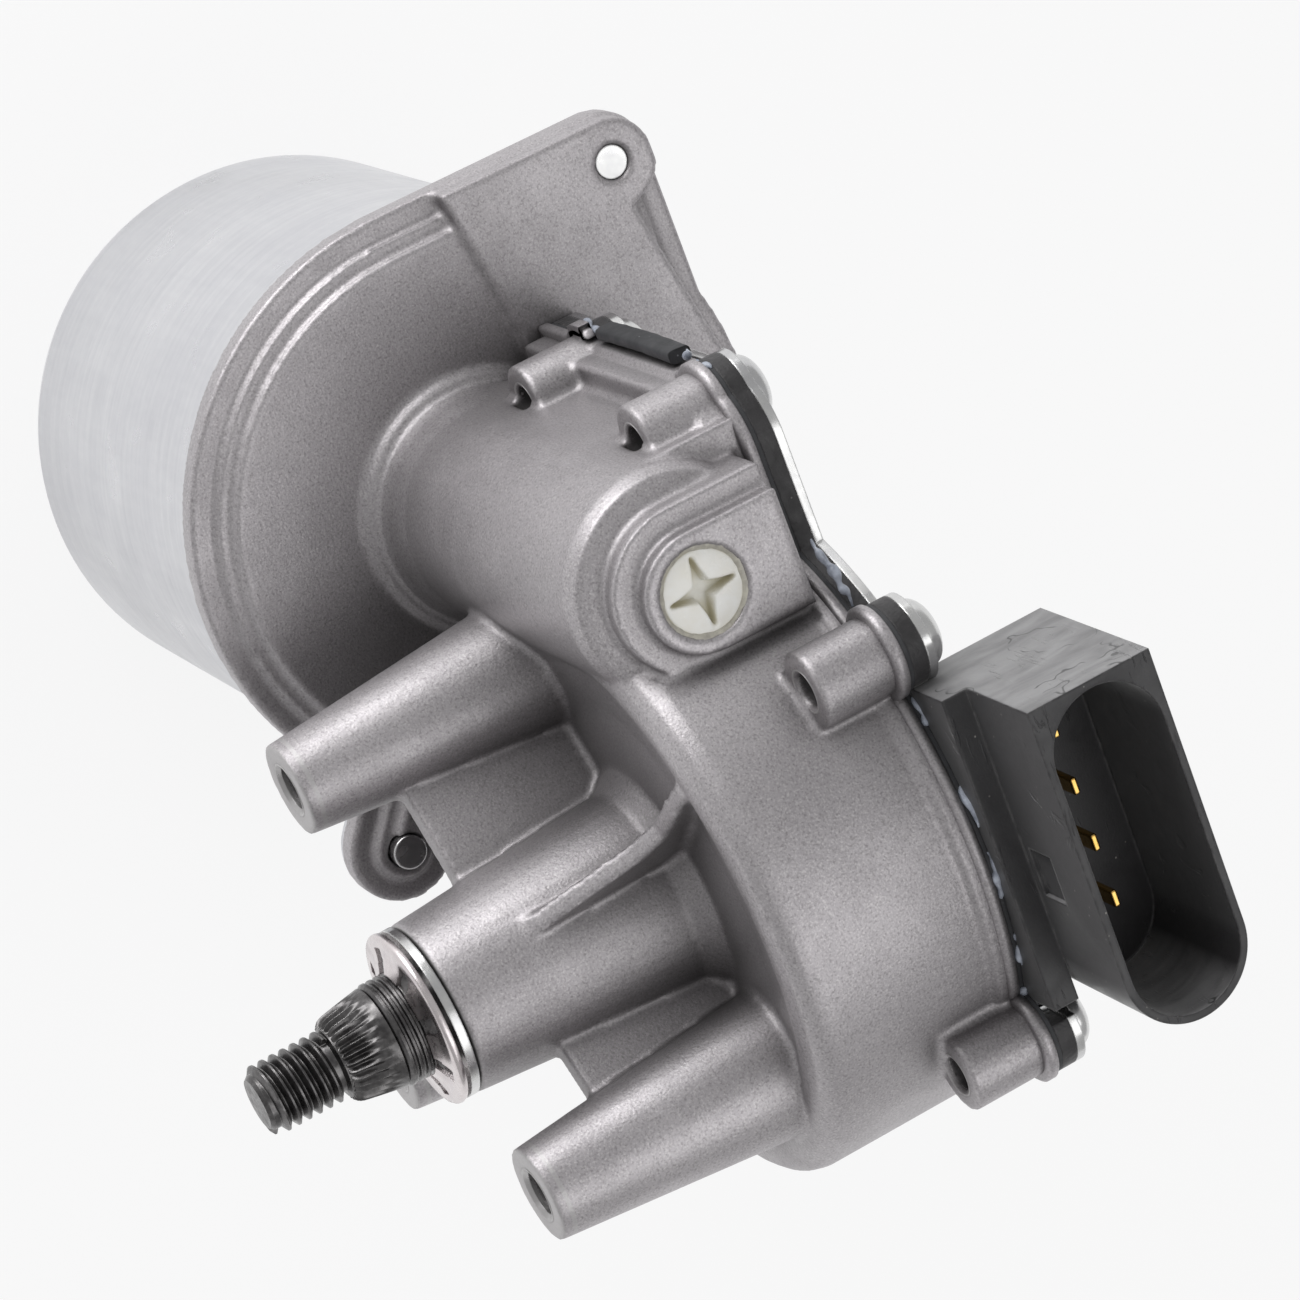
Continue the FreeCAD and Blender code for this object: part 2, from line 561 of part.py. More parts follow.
    inside = fuse("casting_inside", holes)
    return cut("gear_housing", outside, inside)


def corner_plate():
    """Raised plate over the flange's square corner, between a slanting step and a ledge."""
    height = "flange_thickness + face_rise + plate_rise"
    corner_x, corner_y = CORNER_SCREW
    edge = "(%s - flange_radius)" % WORM_X
    body = doc.addObject("PartDesign::Body", "plate_region")
    sketch = profile(body, "plate_sides", [
        (edge, "plate_near"),
        ("plate_end", "plate_far"),
        ("plate_end", "band_far"),
        (corner_x + " + corner_round", "band_near"),
        (edge, "band_near"),
    ], "XY_Plane")
    pad = body.newObject("PartDesign::Pad", "plate_pad")
    pad.Profile = sketch
    bind(pad, Length=height)
    put(body, z=FLANGE_BACK)
    screw_pad = cylinder("plate_screw_pad", "corner_round", height, corner_x, corner_y, FLANGE_BACK)
    outline = flange_plate("plate_outline", "(-0.4)", FLANGE_BACK, height)
    return [common("corner_plate", [outline, fuse("plate_regions", [body, screw_pad])])]


def gusset():
    """Thin S-shaped stay from the shaft boss up to the bowl's front edge."""
    body = doc.addObject("PartDesign::Body", "boss_gusset")
    sketch = profile(body, "gusset_profile", [
        ("boss_tip_radius - 1.2", "boss_front + 7.6"),
        ("boss_tip_radius + 1.6", "boss_front + 11.5"),
        ("boss_root_radius + 5", "bowl_front - 4"),
        ("boss_root_radius + 8", "bowl_front - 1.6"),
        ("bowl_radius - 5", "bowl_front - 0.2"),
        ("bowl_radius - 5", "bowl_front + bowl_dish + 0.5"),
        ("boss_tip_radius - 1.2", "bowl_front + bowl_dish + 0.5"),
    ], "XY_Plane")
    pad = body.newObject("PartDesign::Pad", "gusset_pad")
    pad.Profile = sketch
    pad.Length = 2.2
    pad.Midplane = True
    body.Placement = Placement(Vector(), Rotation(Vector(0, 1, 0), 180 + 52))
    return body


def shaft_bushes():
    """Two sintered bushes for the output shaft."""
    bore = "journal_radius + running_gap"
    front = tube("front_bush", "bush_bore", bore, "front_bush_length", "0", "boss_front + 0.4", "0",
                 "+Y")
    rear = tube("rear_bush", "bush_bore", bore, "rear_bush_length",
                "0", BUSH_END + " - rear_bush_length - end_play", "0", "+Y")
    return [front, rear]


def shaft_seal():
    """Square ring with chamfered corners between the two bushes."""
    outer = "bush_bore - running_gap"
    inner = "(journal_radius + running_gap)"
    return turned("shaft_seal", [
        (inner + " + 0.5", "0"),
        (outer + " - 0.5", "0"),
        (outer, "0.5"),
        (outer, "1.4"),
        (outer + " - 0.5", "1.9"),
        (inner + " + 0.5", "1.9"),
        (inner, "1.4"),
        (inner, "0.5"),
    ], "0", "boss_front + front_bush_length + 2", "0", "+Y")


def output_shaft():
    """Turned steel shaft: M8 stud with chamfer, taper, journal, inner end."""
    top = "(shaft_end + stud_length)"
    return turned("output_shaft", [
        ("0", "0"),
        ("stud_radius - 0.8", "0"),
        ("stud_radius", "0.8"),
        ("stud_radius", "stud_length"),
        ("taper_small", "stud_length + 0.3"),
        ("taper_large", "stud_length + taper_length"),
        ("journal_radius", "stud_length + taper_length + 0.3"),
        ("journal_radius", top + " - 0.8"),
        ("journal_radius - 0.8", top),
        ("0", top),
    ], "0", "-stud_length", "0", "+Y")


def retaining_clip():
    """Push-on clip: a ring with dished teeth that grip the shaft."""
    front = "boss_front - end_play - washer_thickness"
    body = turned("retaining_clip", [
        ("clip_radius - 2.6", "0"),
        ("clip_radius", "0"),
        ("clip_radius", "clip_thickness"),
        ("clip_radius - 2.4", "clip_thickness"),
        ("journal_radius + 0.4", "clip_thickness + 1.4"),
        ("journal_radius", "clip_thickness + 1.1"),
    ], "0", front, "0", "-Y")
    sketch = profile(body, "clip_gap", [
        ("journal_radius - 1", "-0.6"),
        ("clip_radius - 2.2", "-0.9"),
        ("clip_radius - 2.2", "0.9"),
        ("journal_radius - 1", "0.6"),
    ], "XY_Plane")
    pocket = body.newObject("PartDesign::Pocket", "clip_gap_cut")
    pocket.Profile = sketch
    pocket.Type = 1
    pocket.Midplane = True
    repeat(body, "clip_gaps", pocket, sketch, "8")
    return body


def repeat(body, name, feature, sketch, count):
    """Copy a feature evenly around the axis of its sketch."""
    pattern = body.newObject("PartDesign::PolarPattern", name)
    pattern.Originals = [feature]
    pattern.Axis = (sketch, ["N_Axis"])
    pattern.Angle = 360
    bind(pattern, Occurrences=count)
    body.Tip = pattern
    return pattern


def involute(angle):
    return math.tan(angle) - angle


def wheel_outline(level):
    """Tooth outline of the worm wheel in the plane at a level, turned with the helix of the worm."""
    teeth = int(size("wheel_teeth"))
    module = size("tooth_module")
    pitch_radius = teeth * module / 2
    pressure = math.atan(size("pressure_slope"))
    base_radius = pitch_radius * math.cos(pressure)
    thickness = (math.pi * module - size("tooth_backlash")) / 2
    lead_slope = module / (2 * value(WORM_RADIUS))
    twist = (level - size("worm_level")) * lead_slope / pitch_radius
    corners = []
    for tooth in range(teeth):
        middle = math.pi - 2 * math.pi * tooth / teeth - twist
        for height, side in ((-1.2, -1), (1.0, -1), (1.0, 1), (-1.2, 1)):
            reach = pitch_radius + height * module
            half = (thickness / (2 * pitch_radius) + involute(pressure)
                    - involute(math.acos(base_radius / reach)))
            angle = middle - half * side
            corners.append(Vector(reach * math.cos(angle), level, reach * math.sin(angle)))
    corners.append(corners[0])
    return Part.makePolygon(corners)


def worm_wheel():
    """Plastic wheel: helical teeth, rim, thin web and hub seat."""
    low = value(WHEEL_LOW)
    top = value(WHEEL_TOP)
    blank = Part.makeLoft([wheel_outline(low), wheel_outline(top)], True, True)
    root = size("wheel_teeth") * size("tooth_module") / 2 - 1.2 * size("tooth_module")
    hollow = Part.makeCylinder(root - size("wheel_rim"), size("wheel_width") - size("wheel_web"),
                               Vector(0, low, 0), Vector(0, 1, 0))
    seat = Part.makeCylinder(size("hub_radius") + 3, size("wheel_width"), Vector(0, low, 0),
                             Vector(0, 1, 0))
    bore = Part.makeCylinder(size("hub_radius"), size("wheel_width"), Vector(0, low, 0),
                             Vector(0, 1, 0))
    wheel = doc.addObject("Part::Feature", "worm_wheel")
    wheel.Shape = blank.cut(hollow.cut(seat)).cut(bore)
    return wheel


def output_details():
    """Hub, washers and park disc that turn with the output shaft."""
    hub = tube("wheel_hub", "hub_radius", "journal_radius", "wheel_width + 1", "0", WHEEL_LOW, "0",
               "+Y")
    inner = tube("inner_washer", "hub_radius", "journal_radius", "washer_thickness",
                 "0", WHEEL_LOW + " - washer_thickness", "0", "+Y")
    outer = tube("outer_washer", "boss_tip_radius", "journal_radius", "washer_thickness",
                 "0", "boss_front - washer_thickness - end_play", "0", "+Y")
    disc = tube("park_ring", "park_outer", "park_inner", "park_thickness", "0", WHEEL_TOP, "0", "+Y")
    notch = block("park_notch", ("-4", WHEEL_TOP, "park_inner + 4"),
                  ("4", WHEEL_TOP + " + park_thickness", "park_outer + 1"))
    return [hub, inner, outer, cut("park_disc", disc, notch)]


def contact_fingers():
    """Three spring strips that ride on the park disc."""
    fingers = []
    low = "(%s + park_thickness + 0.3)" % WHEEL_TOP
    for n, (x, ring) in enumerate((("-6", "2"), ("0", "5.5"), ("6", "8")), start=1):
        reach = "park_inner + " + ring
        body = doc.addObject("PartDesign::Body", "finger_%d" % n)
        sketch = profile(body, "finger_profile_%d" % n, [
            (PLATE_LOW, FINGER_ROOT),
            (low + " + 3.4", FINGER_ROOT + " - finger_sheet"),
            (low, reach + " + 0.6"),
            (low, reach),
            (low + " + 1", reach + " - 1.6"),
            (low + " + 1.3", reach + " - 1.3"),
            (low + " + finger_sheet", reach + " + 0.1"),
            (low + " + finger_sheet", reach + " + 0.5"),
            (low + " + 3.7", FINGER_ROOT + " - finger_sheet * 2"),
            (PLATE_LOW, FINGER_ROOT + " - finger_sheet"),
        ], "YZ_Plane")
        pad = body.newObject("PartDesign::Pad", "finger_pad_%d" % n)
        pad.Profile = sketch
        bind(pad, Length="finger_width")
        pad.Midplane = True
        fingers.append(put(body, x))
    return group("contact_fingers", fingers)


def lip_room(name, low, depth):
    """Room for the joint's upright lip in a layer of the cover joint."""
    return block(name, (LEDGE_X + " - rim_lip - 1", low, "top_screw_low - 1"),
                 (LEDGE_X + " - rim_lip + lip_width", "%s + %s" % (low, depth), "lip_top"))


def cover_parts():
    """Gasket, contact plate and steel cover over the gear bowl."""
    ring = fuse("gasket_outside",
                cover_outline("gasket_edge", "rim_lip", "rim_level", "gasket_thickness"))
    middle = [
        cylinder("gasket_bowl", BOWL_INNER, "gasket_thickness", "0", "rim_level", "0", "+Y"),
        block("gasket_chamber",
              ("-%s + casting_wall" % CHAMBER_SIDE, "rim_level", "chamber_bottom + casting_wall"),
              ("-bowl_radius / 3", "rim_level + gasket_thickness", "chamber_top - casting_wall")),
        lip_room("gasket_lip_room", "rim_level", "gasket_thickness"),
    ]
    gasket = cut("cover_gasket", ring,
                 fuse("gasket_inside",
                      middle + screw_holes("gasket_hole", "rim_level", "gasket_thickness")))
    plate = fuse("plate_outside", cover_outline("plate_edge", "rim_lip", PLATE_LOW, "plate_thickness"))
    plate_cuts = screw_holes("plate_hole", PLATE_LOW, "plate_thickness")
    plate_cuts.append(connector_notch("plate_notch", PLATE_LOW, "plate_thickness"))
    plate_cuts.append(lip_room("plate_lip_room", PLATE_LOW, "plate_thickness"))
    contact_plate = cut("contact_plate", plate, fuse("plate_cuts", plate_cuts))
    sheet_metal = fuse("cover_outside",
                       cover_outline("cover_edge", "rim_lip", COVER_LOW, "cover_thickness"))
    cover_cuts = screw_holes("cover_hole", COVER_LOW, "cover_thickness")
    cover_cuts.append(connector_notch("cover_notch", COVER_LOW, "cover_thickness"))
    cover = cut("cover_plate", sheet_metal, fuse("cover_cuts", cover_cuts))
    return [gasket, contact_plate, cover]


def cover_screws():
    """Round-headed screws that clamp the cover."""
    screws = []
    for n, (x, z) in enumerate(COVER_SCREWS, start=1):
        shank = cylinder("screw_shank_%d" % n, "screw_radius", "screw_length + 0.5", x,
                         COVER_TOP + " - screw_length", z, "+Y")
        head = cylinder("screw_head_%d" % n, "screw_head_radius", "screw_head_height", x, COVER_TOP, z,
                        "+Y")
        screws.append(fuse("cover_screw_%d" % n, [shank, head]))
    return group("cover_screws", screws)


def connector():
    """Socket with one square and one round end, its foot, and its pins."""
    half = "connector_half"
    low = "connector_low"
    top = "(connector_low + connector_depth)"
    round_end = "(connector_depth / 2)"
    length = "connector_length"
    middle_y = "connector_low + connector_depth / 2"
    shell = [
        block("socket_body", ("-" + half, low, CONNECTOR_BACK),
              (half + " - " + round_end, top, CONNECTOR_FRONT)),
        cylinder("socket_round", round_end, length, half + " - " + round_end, middle_y, CONNECTOR_BACK),
        block("socket_foot", ("-" + half, PLATE_LOW, CONNECTOR_BACK + " - 3.9"),
              (half + " - foot_cut", low, FOOT_FRONT)),
    ]
    inner = "(connector_depth / 2 - connector_wall)"
    reach = "connector_half - connector_depth / 2"
    cavity = [
        block("socket_hollow", ("-(%s)" % reach, middle_y + " - " + inner, SOCKET_FLOOR),
              (reach, middle_y + " + " + inner, CONNECTOR_FRONT + " + 1")),
        cylinder("socket_hollow_left", inner, "socket_depth + 1", "-(%s)" % reach, middle_y,
                 SOCKET_FLOOR),
        cylinder("socket_hollow_right", inner, "socket_depth + 1", reach, middle_y, SOCKET_FLOOR),
        block("socket_dimple", ("-1", low + " - 1", FOOT_FRONT + " + 1"),
              ("4.5", low + " + 0.5", FOOT_FRONT + " + 5.5")),
    ]
    housing = cut("connector_housing", fuse("socket_outside", shell), fuse("socket_inside", cavity))
    pins = []
    for n in range(5):
        x = "pin_pitch * %d - pin_width / 2" % (n - 2)
        pins.append(block("pin_%d" % n, (x, "connector_low + 5.0", SOCKET_FLOOR),
                          ("pin_pitch * %d + pin_width / 2" % (n - 2),
                           "connector_low + 5.0 + pin_thickness", SOCKET_FLOOR + " + pin_length")))
    return [housing, group("connector_pins", pins)]


def drain_flap():
    """Rubber flap on the ledge above the worm tube."""
    near = LEDGE_X + " - rim_lip - 0.3"
    base = block("flap_block", (near + " - flap_thickness", "rim_level - 0.6",
                                "flap_top - flap_length"),
                 (near, "rim_level - 0.6 + flap_height", "flap_top"))
    far = value(near) - size("flap_thickness") / 2
    return rounded("drain_flap", base, 1.0,
                   lambda edge: edge.BoundBox.XMax < far and edge.BoundBox.YLength > 1)


def thrust_parts():
    """Plastic adjusting screw with a cross recess, and the pad under it."""
    low = "tip_end + 0.4"
    pad = cylinder("thrust_pad", "tip_radius + 0.8", "1", WORM_X, WORM_Y, low)
    body = cylinder("thrust_screw_body", "thrust_round - 1.75", "thrust_face - tip_end - 1.6", WORM_X,
                    WORM_Y, low + " + 1")
    face = "thrust_face - 0.2"
    slots = [
        block("cross_slot_1", (WORM_X + " - 0.75", WORM_Y + " - 3", face + " - 1.6"),
              (WORM_X + " + 0.75", WORM_Y + " + 3", face + " + 1")),
        block("cross_slot_2", (WORM_X + " - 3", WORM_Y + " - 0.75", face + " - 1.6"),
              (WORM_X + " + 3", WORM_Y + " + 0.75", face + " + 1")),
    ]
    screw = cut("thrust_screw", body, fuse("cross_recess", slots))
    tip_bush = tube("tip_bush", "tip_radius + 2.5", "tip_radius + running_gap", "tip_bush_length",
                    WORM_X, WORM_Y, "tip_end - 0.4 - tip_bush_length")
    neck_bush = tube("neck_bush", "worm_bore", "motor_shaft_radius + running_gap", "neck_bush_length",
                     WORM_X, WORM_Y, FLANGE_BACK + " + 3")
    return [pad, screw, tip_bush, neck_bush]


def can_outline(radius, corner, height):
    """Half section of a drawn cup whose corner is rounded in three facets."""
    return [
        ("0", "0"),
        ("%s - %s" % (radius, corner), "0"),
        ("%s - %s * 0.5" % (radius, corner), corner + " * 0.134"),
        ("%s - %s * 0.134" % (radius, corner), corner + " * 0.5"),
        (radius, corner),
        (radius, height),
        ("0", height),
    ]


def motor_can():
    """Drawn steel can with its flange and the bead around the rear bush."""
    outside = turned("can_outside", can_outline("can_radius", "can_round", CAN_LENGTH), WORM_X, WORM_Y,
                     CAN_END)
    inside = turned("can_inside", can_outline(CAN_INNER, "(can_round - can_wall)", CAN_LENGTH), WORM_X,
                    WORM_Y, CAN_FLOOR)
    flange = flange_plate("can_flange", "(-0.5)", FLANGE_BACK + " - ear_thickness", "ear_thickness")
    bead = "(rear_bush_radius + 2 * can_wall + bead_width)"
    ring = tube("can_bead", bead, "rear_bush_radius", "bead_height + can_wall", WORM_X, WORM_Y,
                CAN_FLOOR)
    groove = tube("can_groove", "rear_bush_radius + can_wall + bead_width",
                  "rear_bush_radius + can_wall", "bead_height",
                  WORM_X, WORM_Y, CAN_END)
    shell = cut("can_hollow", fuse("can_form", [outside, flange]), inside)
    holes = [cylinder("can_screw_hole_%d" % n, "motor_screw_radius + 0.2", "ear_thickness + 2", x, y,
                      FLANGE_BACK + " - ear_thickness - 1") for n,
                      (x, y) in enumerate(MOTOR_SCREWS, start=1)]
    can = cut("motor_can", fuse("can_shell", [shell, ring]), fuse("can_cuts", [groove] + holes))
    rear = tube("rear_motor_bush", "rear_bush_radius", "motor_shaft_radius + running_gap",
                "motor_bush_length", WORM_X, WORM_Y, CAN_FLOOR)
    clip = tube("bush_clip", "rear_bush_radius + 4", "motor_shaft_radius + 1", "0.5", WORM_X, WORM_Y,
                CAN_FLOOR + " + bead_height + can_wall")
    return [can, rear, clip]


def motor_screws():
    """Two screws with hexagon heads that hold the can to the casting."""
    screws = []
    for n, (x, y) in enumerate(MOTOR_SCREWS, start=1):
        low = FLANGE_BACK + " - ear_thickness"
        shank = cylinder("motor_shank_%d" % n, "motor_screw_radius",
                         "ear_thickness + flange_thickness + face_rise + 0.4",
                         x, y, low)
        head = doc.addObject("Part::Prism", "motor_head_%d" % n)
        head.Polygon = 6
        bind(head, Circumradius="motor_screw_head", Height="motor_screw_head_height")
        put(head, x, y, low + " - motor_screw_head_height")
        screws.append(fuse("motor_screw_%d" % n, [shank, head]))
    return group("motor_screws", screws)


def arc_piece(name, outer, inner, span, height, z, heading):
    """Part of a ring about the motor axis, centred on a heading."""
    ring = bind(doc.addObject("Part::Cylinder", name + "_outside"), Radius=outer, Height=height,
                Angle=span)
    put(ring, WORM_X, WORM_Y, z, turn=heading - value(span) / 2)
    hole = cylinder(name + "_inside", inner, height, WORM_X, WORM_Y, z)
    return cut(name, ring, hole)


def field_parts():
    """Two ceramic magnets and the springs that spread them."""
    bottom = CORE_BOTTOM + " - (magnet_length - core_length) / 2"
    magnets = []
    springs = []
    for side, heading in (("left", 180), ("right", 0)):
        magnets.append(arc_piece("magnet_" + side, CAN_INNER, CORE_RADIUS + " + air_gap", "magnet_span",
                                 "magnet_length", bottom, heading))
        springs.append(arc_piece("spring_" + side, CAN_INNER, CAN_INNER + " - 0.9",
                                 "(174 - magnet_span)",
                                 "magnet_length - 6", bottom + " + 3", heading + 90))
    return magnets + [group("magnet_springs", springs)]


def armature_shaft():
    """Motor shaft in one piece with the worm."""
    root = "(%s - 1.2 * tooth_module)" % WORM_RADIUS
    bottom = "(%s + shaft_end_gap)" % CAN_FLOOR
    body = turned("armature_shaft", [
        ("0", bottom),
        ("motor_shaft_radius - 0.5", bottom),
        ("motor_shaft_radius", bottom + " + 0.5"),
        ("motor_shaft_radius", WORM_BOTTOM + " - 1.6"),
        (root, WORM_BOTTOM + " - 1.2"),
        (root, WORM_TOP + " + 1.2"),
        ("tip_radius", WORM_TOP + " + 1.6"),
        ("tip_radius", "tip_end - 0.8"),
        ("tip_radius - 0.9", "tip_end"),
        ("0", "tip_end"),
    ], WORM_X, WORM_Y)
    thread = body.newObject("PartDesign::AdditiveHelix", "worm_thread")
    half = "((%s - tooth_backlash) / 4)" % PITCH
    foot = "(%s - 1.35 * tooth_module)" % WORM_RADIUS
    crest = "(%s + tooth_module)" % WORM_RADIUS
    start = WORM_BOTTOM
    slope = "tooth_module * pressure_slope"
    sketch = profile(body, "thread_profile", [
        (foot, "%s - %s - 1.35 * %s" % (start, half, slope)),
        (crest, "%s - %s + %s" % (start, half, slope)),
        (crest, "%s + %s - %s" % (start, half, slope)),
        (foot, "%s + %s + 1.35 * %s" % (start, half, slope)),
    ])
    thread.Profile = sketch
    thread.ReferenceAxis = (sketch, ["V_Axis"])
    thread.Mode = 0
    bind(thread, Pitch=PITCH, Height="threads_total * " + PITCH)
    body.Tip = thread
    return body


def slot_points(gap):
    """Half-closed slot of the armature core, widened by a gap."""
    outer = CORE_RADIUS
    return [
        (outer + " + 1", "-slot_mouth / 2 + " + gap),
        (outer + " + 1", "slot_mouth / 2 - " + gap),
        (outer + " - 1.6", "slot_mouth / 2 - " + gap),
        (outer + " - 2.6 - " + gap, "slot_width / 2 - " + gap),
        (outer + " - slot_depth", "slot_mouth / 2 - " + gap),
        (outer + " - slot_depth", "-slot_mouth / 2 + " + gap),
        (outer + " - 2.6 - " + gap, "-slot_width / 2 + " + gap),
        (outer + " - 1.6", "-slot_mouth / 2 + " + gap),
    ]


def armature_core():
    """Laminated core with half-closed slots."""
    body = turned("armature_core", [
        ("motor_shaft_radius", "0"),
        (CORE_RADIUS, "0"),
        (CORE_RADIUS, "core_length"),
        ("motor_shaft_radius", "core_length"),
    ], WORM_X, WORM_Y, CORE_BOTTOM)
    sketch = profile(body, "slot_profile", slot_points("0"), "XY_Plane")
    pocket = body.newObject("PartDesign::Pocket", "slot_cut")
    pocket.Profile = sketch
    pocket.Type = 1
    pocket.Midplane = True
    repeat(body, "slots", pocket, sketch, "core_slots")
    return body


def armature_windings():
    """Copper in the slots and the coil heads at both ends."""
    inner = "(%s - slot_depth + 0.4)" % CORE_RADIUS
    outer = "(%s - 2.2)" % CORE_RADIUS
    body = turned("armature_windings", [
        (inner, "core_length"),
        (outer, "core_length"),
        (outer + " - 1.2", "core_length + winding_end"),
        (inner, "core_length + winding_end"),
    ], WORM_X, WORM_Y, CORE_BOTTOM)
    low = profile(body, "lower_head_profile", [
        (inner, "0"),
        (outer, "0"),
        (outer + " - 1.2", "-winding_end"),
        (inner, "-winding_end"),
    ])
    ring = body.newObject("PartDesign::Revolution", "lower_head")
    ring.Profile = low
    ring.ReferenceAxis = (low, ["V_Axis"])
    ring.Angle = 360
    points = slot_points("0.25")[3:7]
    sketch = profile(body, "coil_profile", points, "XY_Plane")
    pad = body.newObject("PartDesign::Pad", "coil_pad")
    pad.Profile = sketch
    bind(pad, Length="core_length")
    repeat(body, "coils", pad, sketch, "core_slots")
    return body


def commutator():
    """Copper bars on an insulating hub."""
    bottom = "commutator_top - commutator_length"
    body = turned("commutator", [
        ("commutator_bore", "0"),
        ("commutator_radius", "0"),
        ("commutator_radius", "commutator_length"),
        ("commutator_bore", "commutator_length"),
    ], WORM_X, WORM_Y, bottom)
    sketch = profile(body, "bar_gap", [
        ("commutator_radius - 1.6", "-0.3"),
        ("commutator_radius + 1", "-0.3"),
        ("commutator_radius + 1", "0.3"),
        ("commutator_radius - 1.6", "0.3"),
    ], "XY_Plane")
    pocket = body.newObject("PartDesign::Pocket", "bar_gap_cut")
    pocket.Profile = sketch
    pocket.Type = 1
    pocket.Midplane = True
    repeat(body, "bar_gaps", pocket, sketch, "commutator_bars")
    hub = tube("commutator_hub", "commutator_bore", "motor_shaft_radius", "commutator_length", WORM_X,
               WORM_Y, bottom)
    return [body, hub]


def brush_parts():
    """Brush plate with three guides, the brushes, their springs, two chokes and a thermal switch."""
    top = FLANGE_BACK + " - 0.2"
    plate = tube("brush_disc", CAN_INNER + " - 0.3", "commutator_radius + 1.5", "2", WORM_X, WORM_Y,
                 top + " - 2")
    low = "commutator_top - brush_height - 1.5"
    start = size("commutator_radius") + 0.2
    guides = [plate]
    brushes = []
    springs = []
    for n, heading in enumerate((0, 180, 245), start=1):
        turn = math.radians(heading)
        ahead = (math.cos(turn), math.sin(turn))
        aside = (-math.sin(turn), math.cos(turn))

        def bar(name, near, far, width, bottom, height):
            item = doc.addObject("Part::Box", name)
            bind(item, Length="(%s) - (%s)" % (far, near), Width=width, Height=height)
            x = "%s + (%s) * %.6f - (%s) / 2 * %.6f" % (WORM_X, near, ahead[0], width, aside[0])
            y = "%s + (%s) * %.6f - (%s) / 2 * %.6f" % (WORM_Y, near, ahead[1], width, aside[1])
            return put(item, x, y, bottom, turn=heading)

        near = "(commutator_radius + 0.2)"
        outer = bar("guide_%d" % n, near + " + 2", near + " + brush_length + 6", "brush_width + 2",
                    low + " - 1", "(%s - 2) - (%s - 1)" % (top, low))
        hollow = bar("guide_hole_%d" % n, near + " + 1", near + " + brush_length + 5",
                     "brush_width + 0.2", low + " - 0.1", "brush_height + 0.2")
        guides.append(cut("brush_guide_%d" % n, outer, hollow))
        brushes.append(bar("brush_%d" % n, near, near + " + brush_length", "brush_width", low,
                           "brush_height"))
        spring = tube("brush_coil_%d" % n, "2", "1.5", "5")
        place = value(near) + size("brush_length")
        spring.Placement = Placement(
            Vector(value(WORM_X) + place * ahead[0], value(WORM_Y) + place * ahead[1],
                   value(low) + size("brush_height") / 2),
            Rotation(Vector(0, 0, 1), Vector(ahead[0], ahead[1], 0)))
        springs.append(spring)
    holder = fuse("brush_holder", guides)
    chokes = []
    for n, heading in enumerate((60, 120), start=1):
        turn = math.radians(heading)
        x = "%s + 21 * %.6f" % (WORM_X, math.cos(turn))
        y = "%s + 21 * %.6f" % (WORM_Y, math.sin(turn))
        chokes.append(cylinder("choke_%d" % n, "choke_radius", "choke_length", x, y,
                               top + " - 2.1 - choke_length"))
    switch = block("thermal_switch", (WORM_X + " - 4", WORM_Y + " - 25", top + " - 7"),
                   (WORM_X + " + 6", WORM_Y + " - 20", top + " - 2"))
    return [holder, group("brushes", brushes), group("brush_springs", springs), group("chokes", chokes),
            switch]


def check(items):
    """Stop if any feature failed or any sub-part isn't a sound solid."""
    doc.recompute()
    for item in doc.Objects:
        for word in ("Invalid", "Error"):
            if word in item.State:
                raise RuntimeError("%s: %s" % (item.Label, item.State))
    for item in items:
        if item.Shape.isNull() or not item.Shape.isValid() or not item.Shape.Solids:
            raise RuntimeError("%s isn't a sound solid" % item.Label)


PARTS = [gear_housing()]
PARTS += shaft_bushes()
PARTS += [shaft_seal(), output_shaft(), retaining_clip(), worm_wheel()]
PARTS += output_details()
PARTS += [contact_fingers()]
PARTS += cover_parts()
PARTS += [cover_screws()]
PARTS += connector()
PARTS += [drain_flap()]
PARTS += thrust_parts()
PARTS += motor_can()
PARTS += [motor_screws()]
PARTS += field_parts()
PARTS += [armature_shaft(), armature_core(), armature_windings()]
PARTS += commutator()
PARTS += brush_parts()
check(PARTS)
os.makedirs("parts", exist_ok=True)
facets = 0
for item in PARTS:
    item.Shape.exportStep("parts/%s.step" % item.Label)
    facets += len(item.Shape.tessellate(0.1)[1])
    print("%-20s %2d solid(s) %10.1f mm3" % (item.Label, len(item.Shape.Solids), item.Shape.Volume))
print("triangles", facets)
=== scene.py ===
"""Looks for the wiper motor: finishes, detailed pieces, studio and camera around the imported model."""

import logging
import math
from dataclasses import dataclass
from enum import Enum
from functools import cache, cached_property
from typing import Callable, Iterable, Optional, Sequence, Union

import bmesh
import bpy
import numpy as np
from mathutils import Matrix, Vector, noise


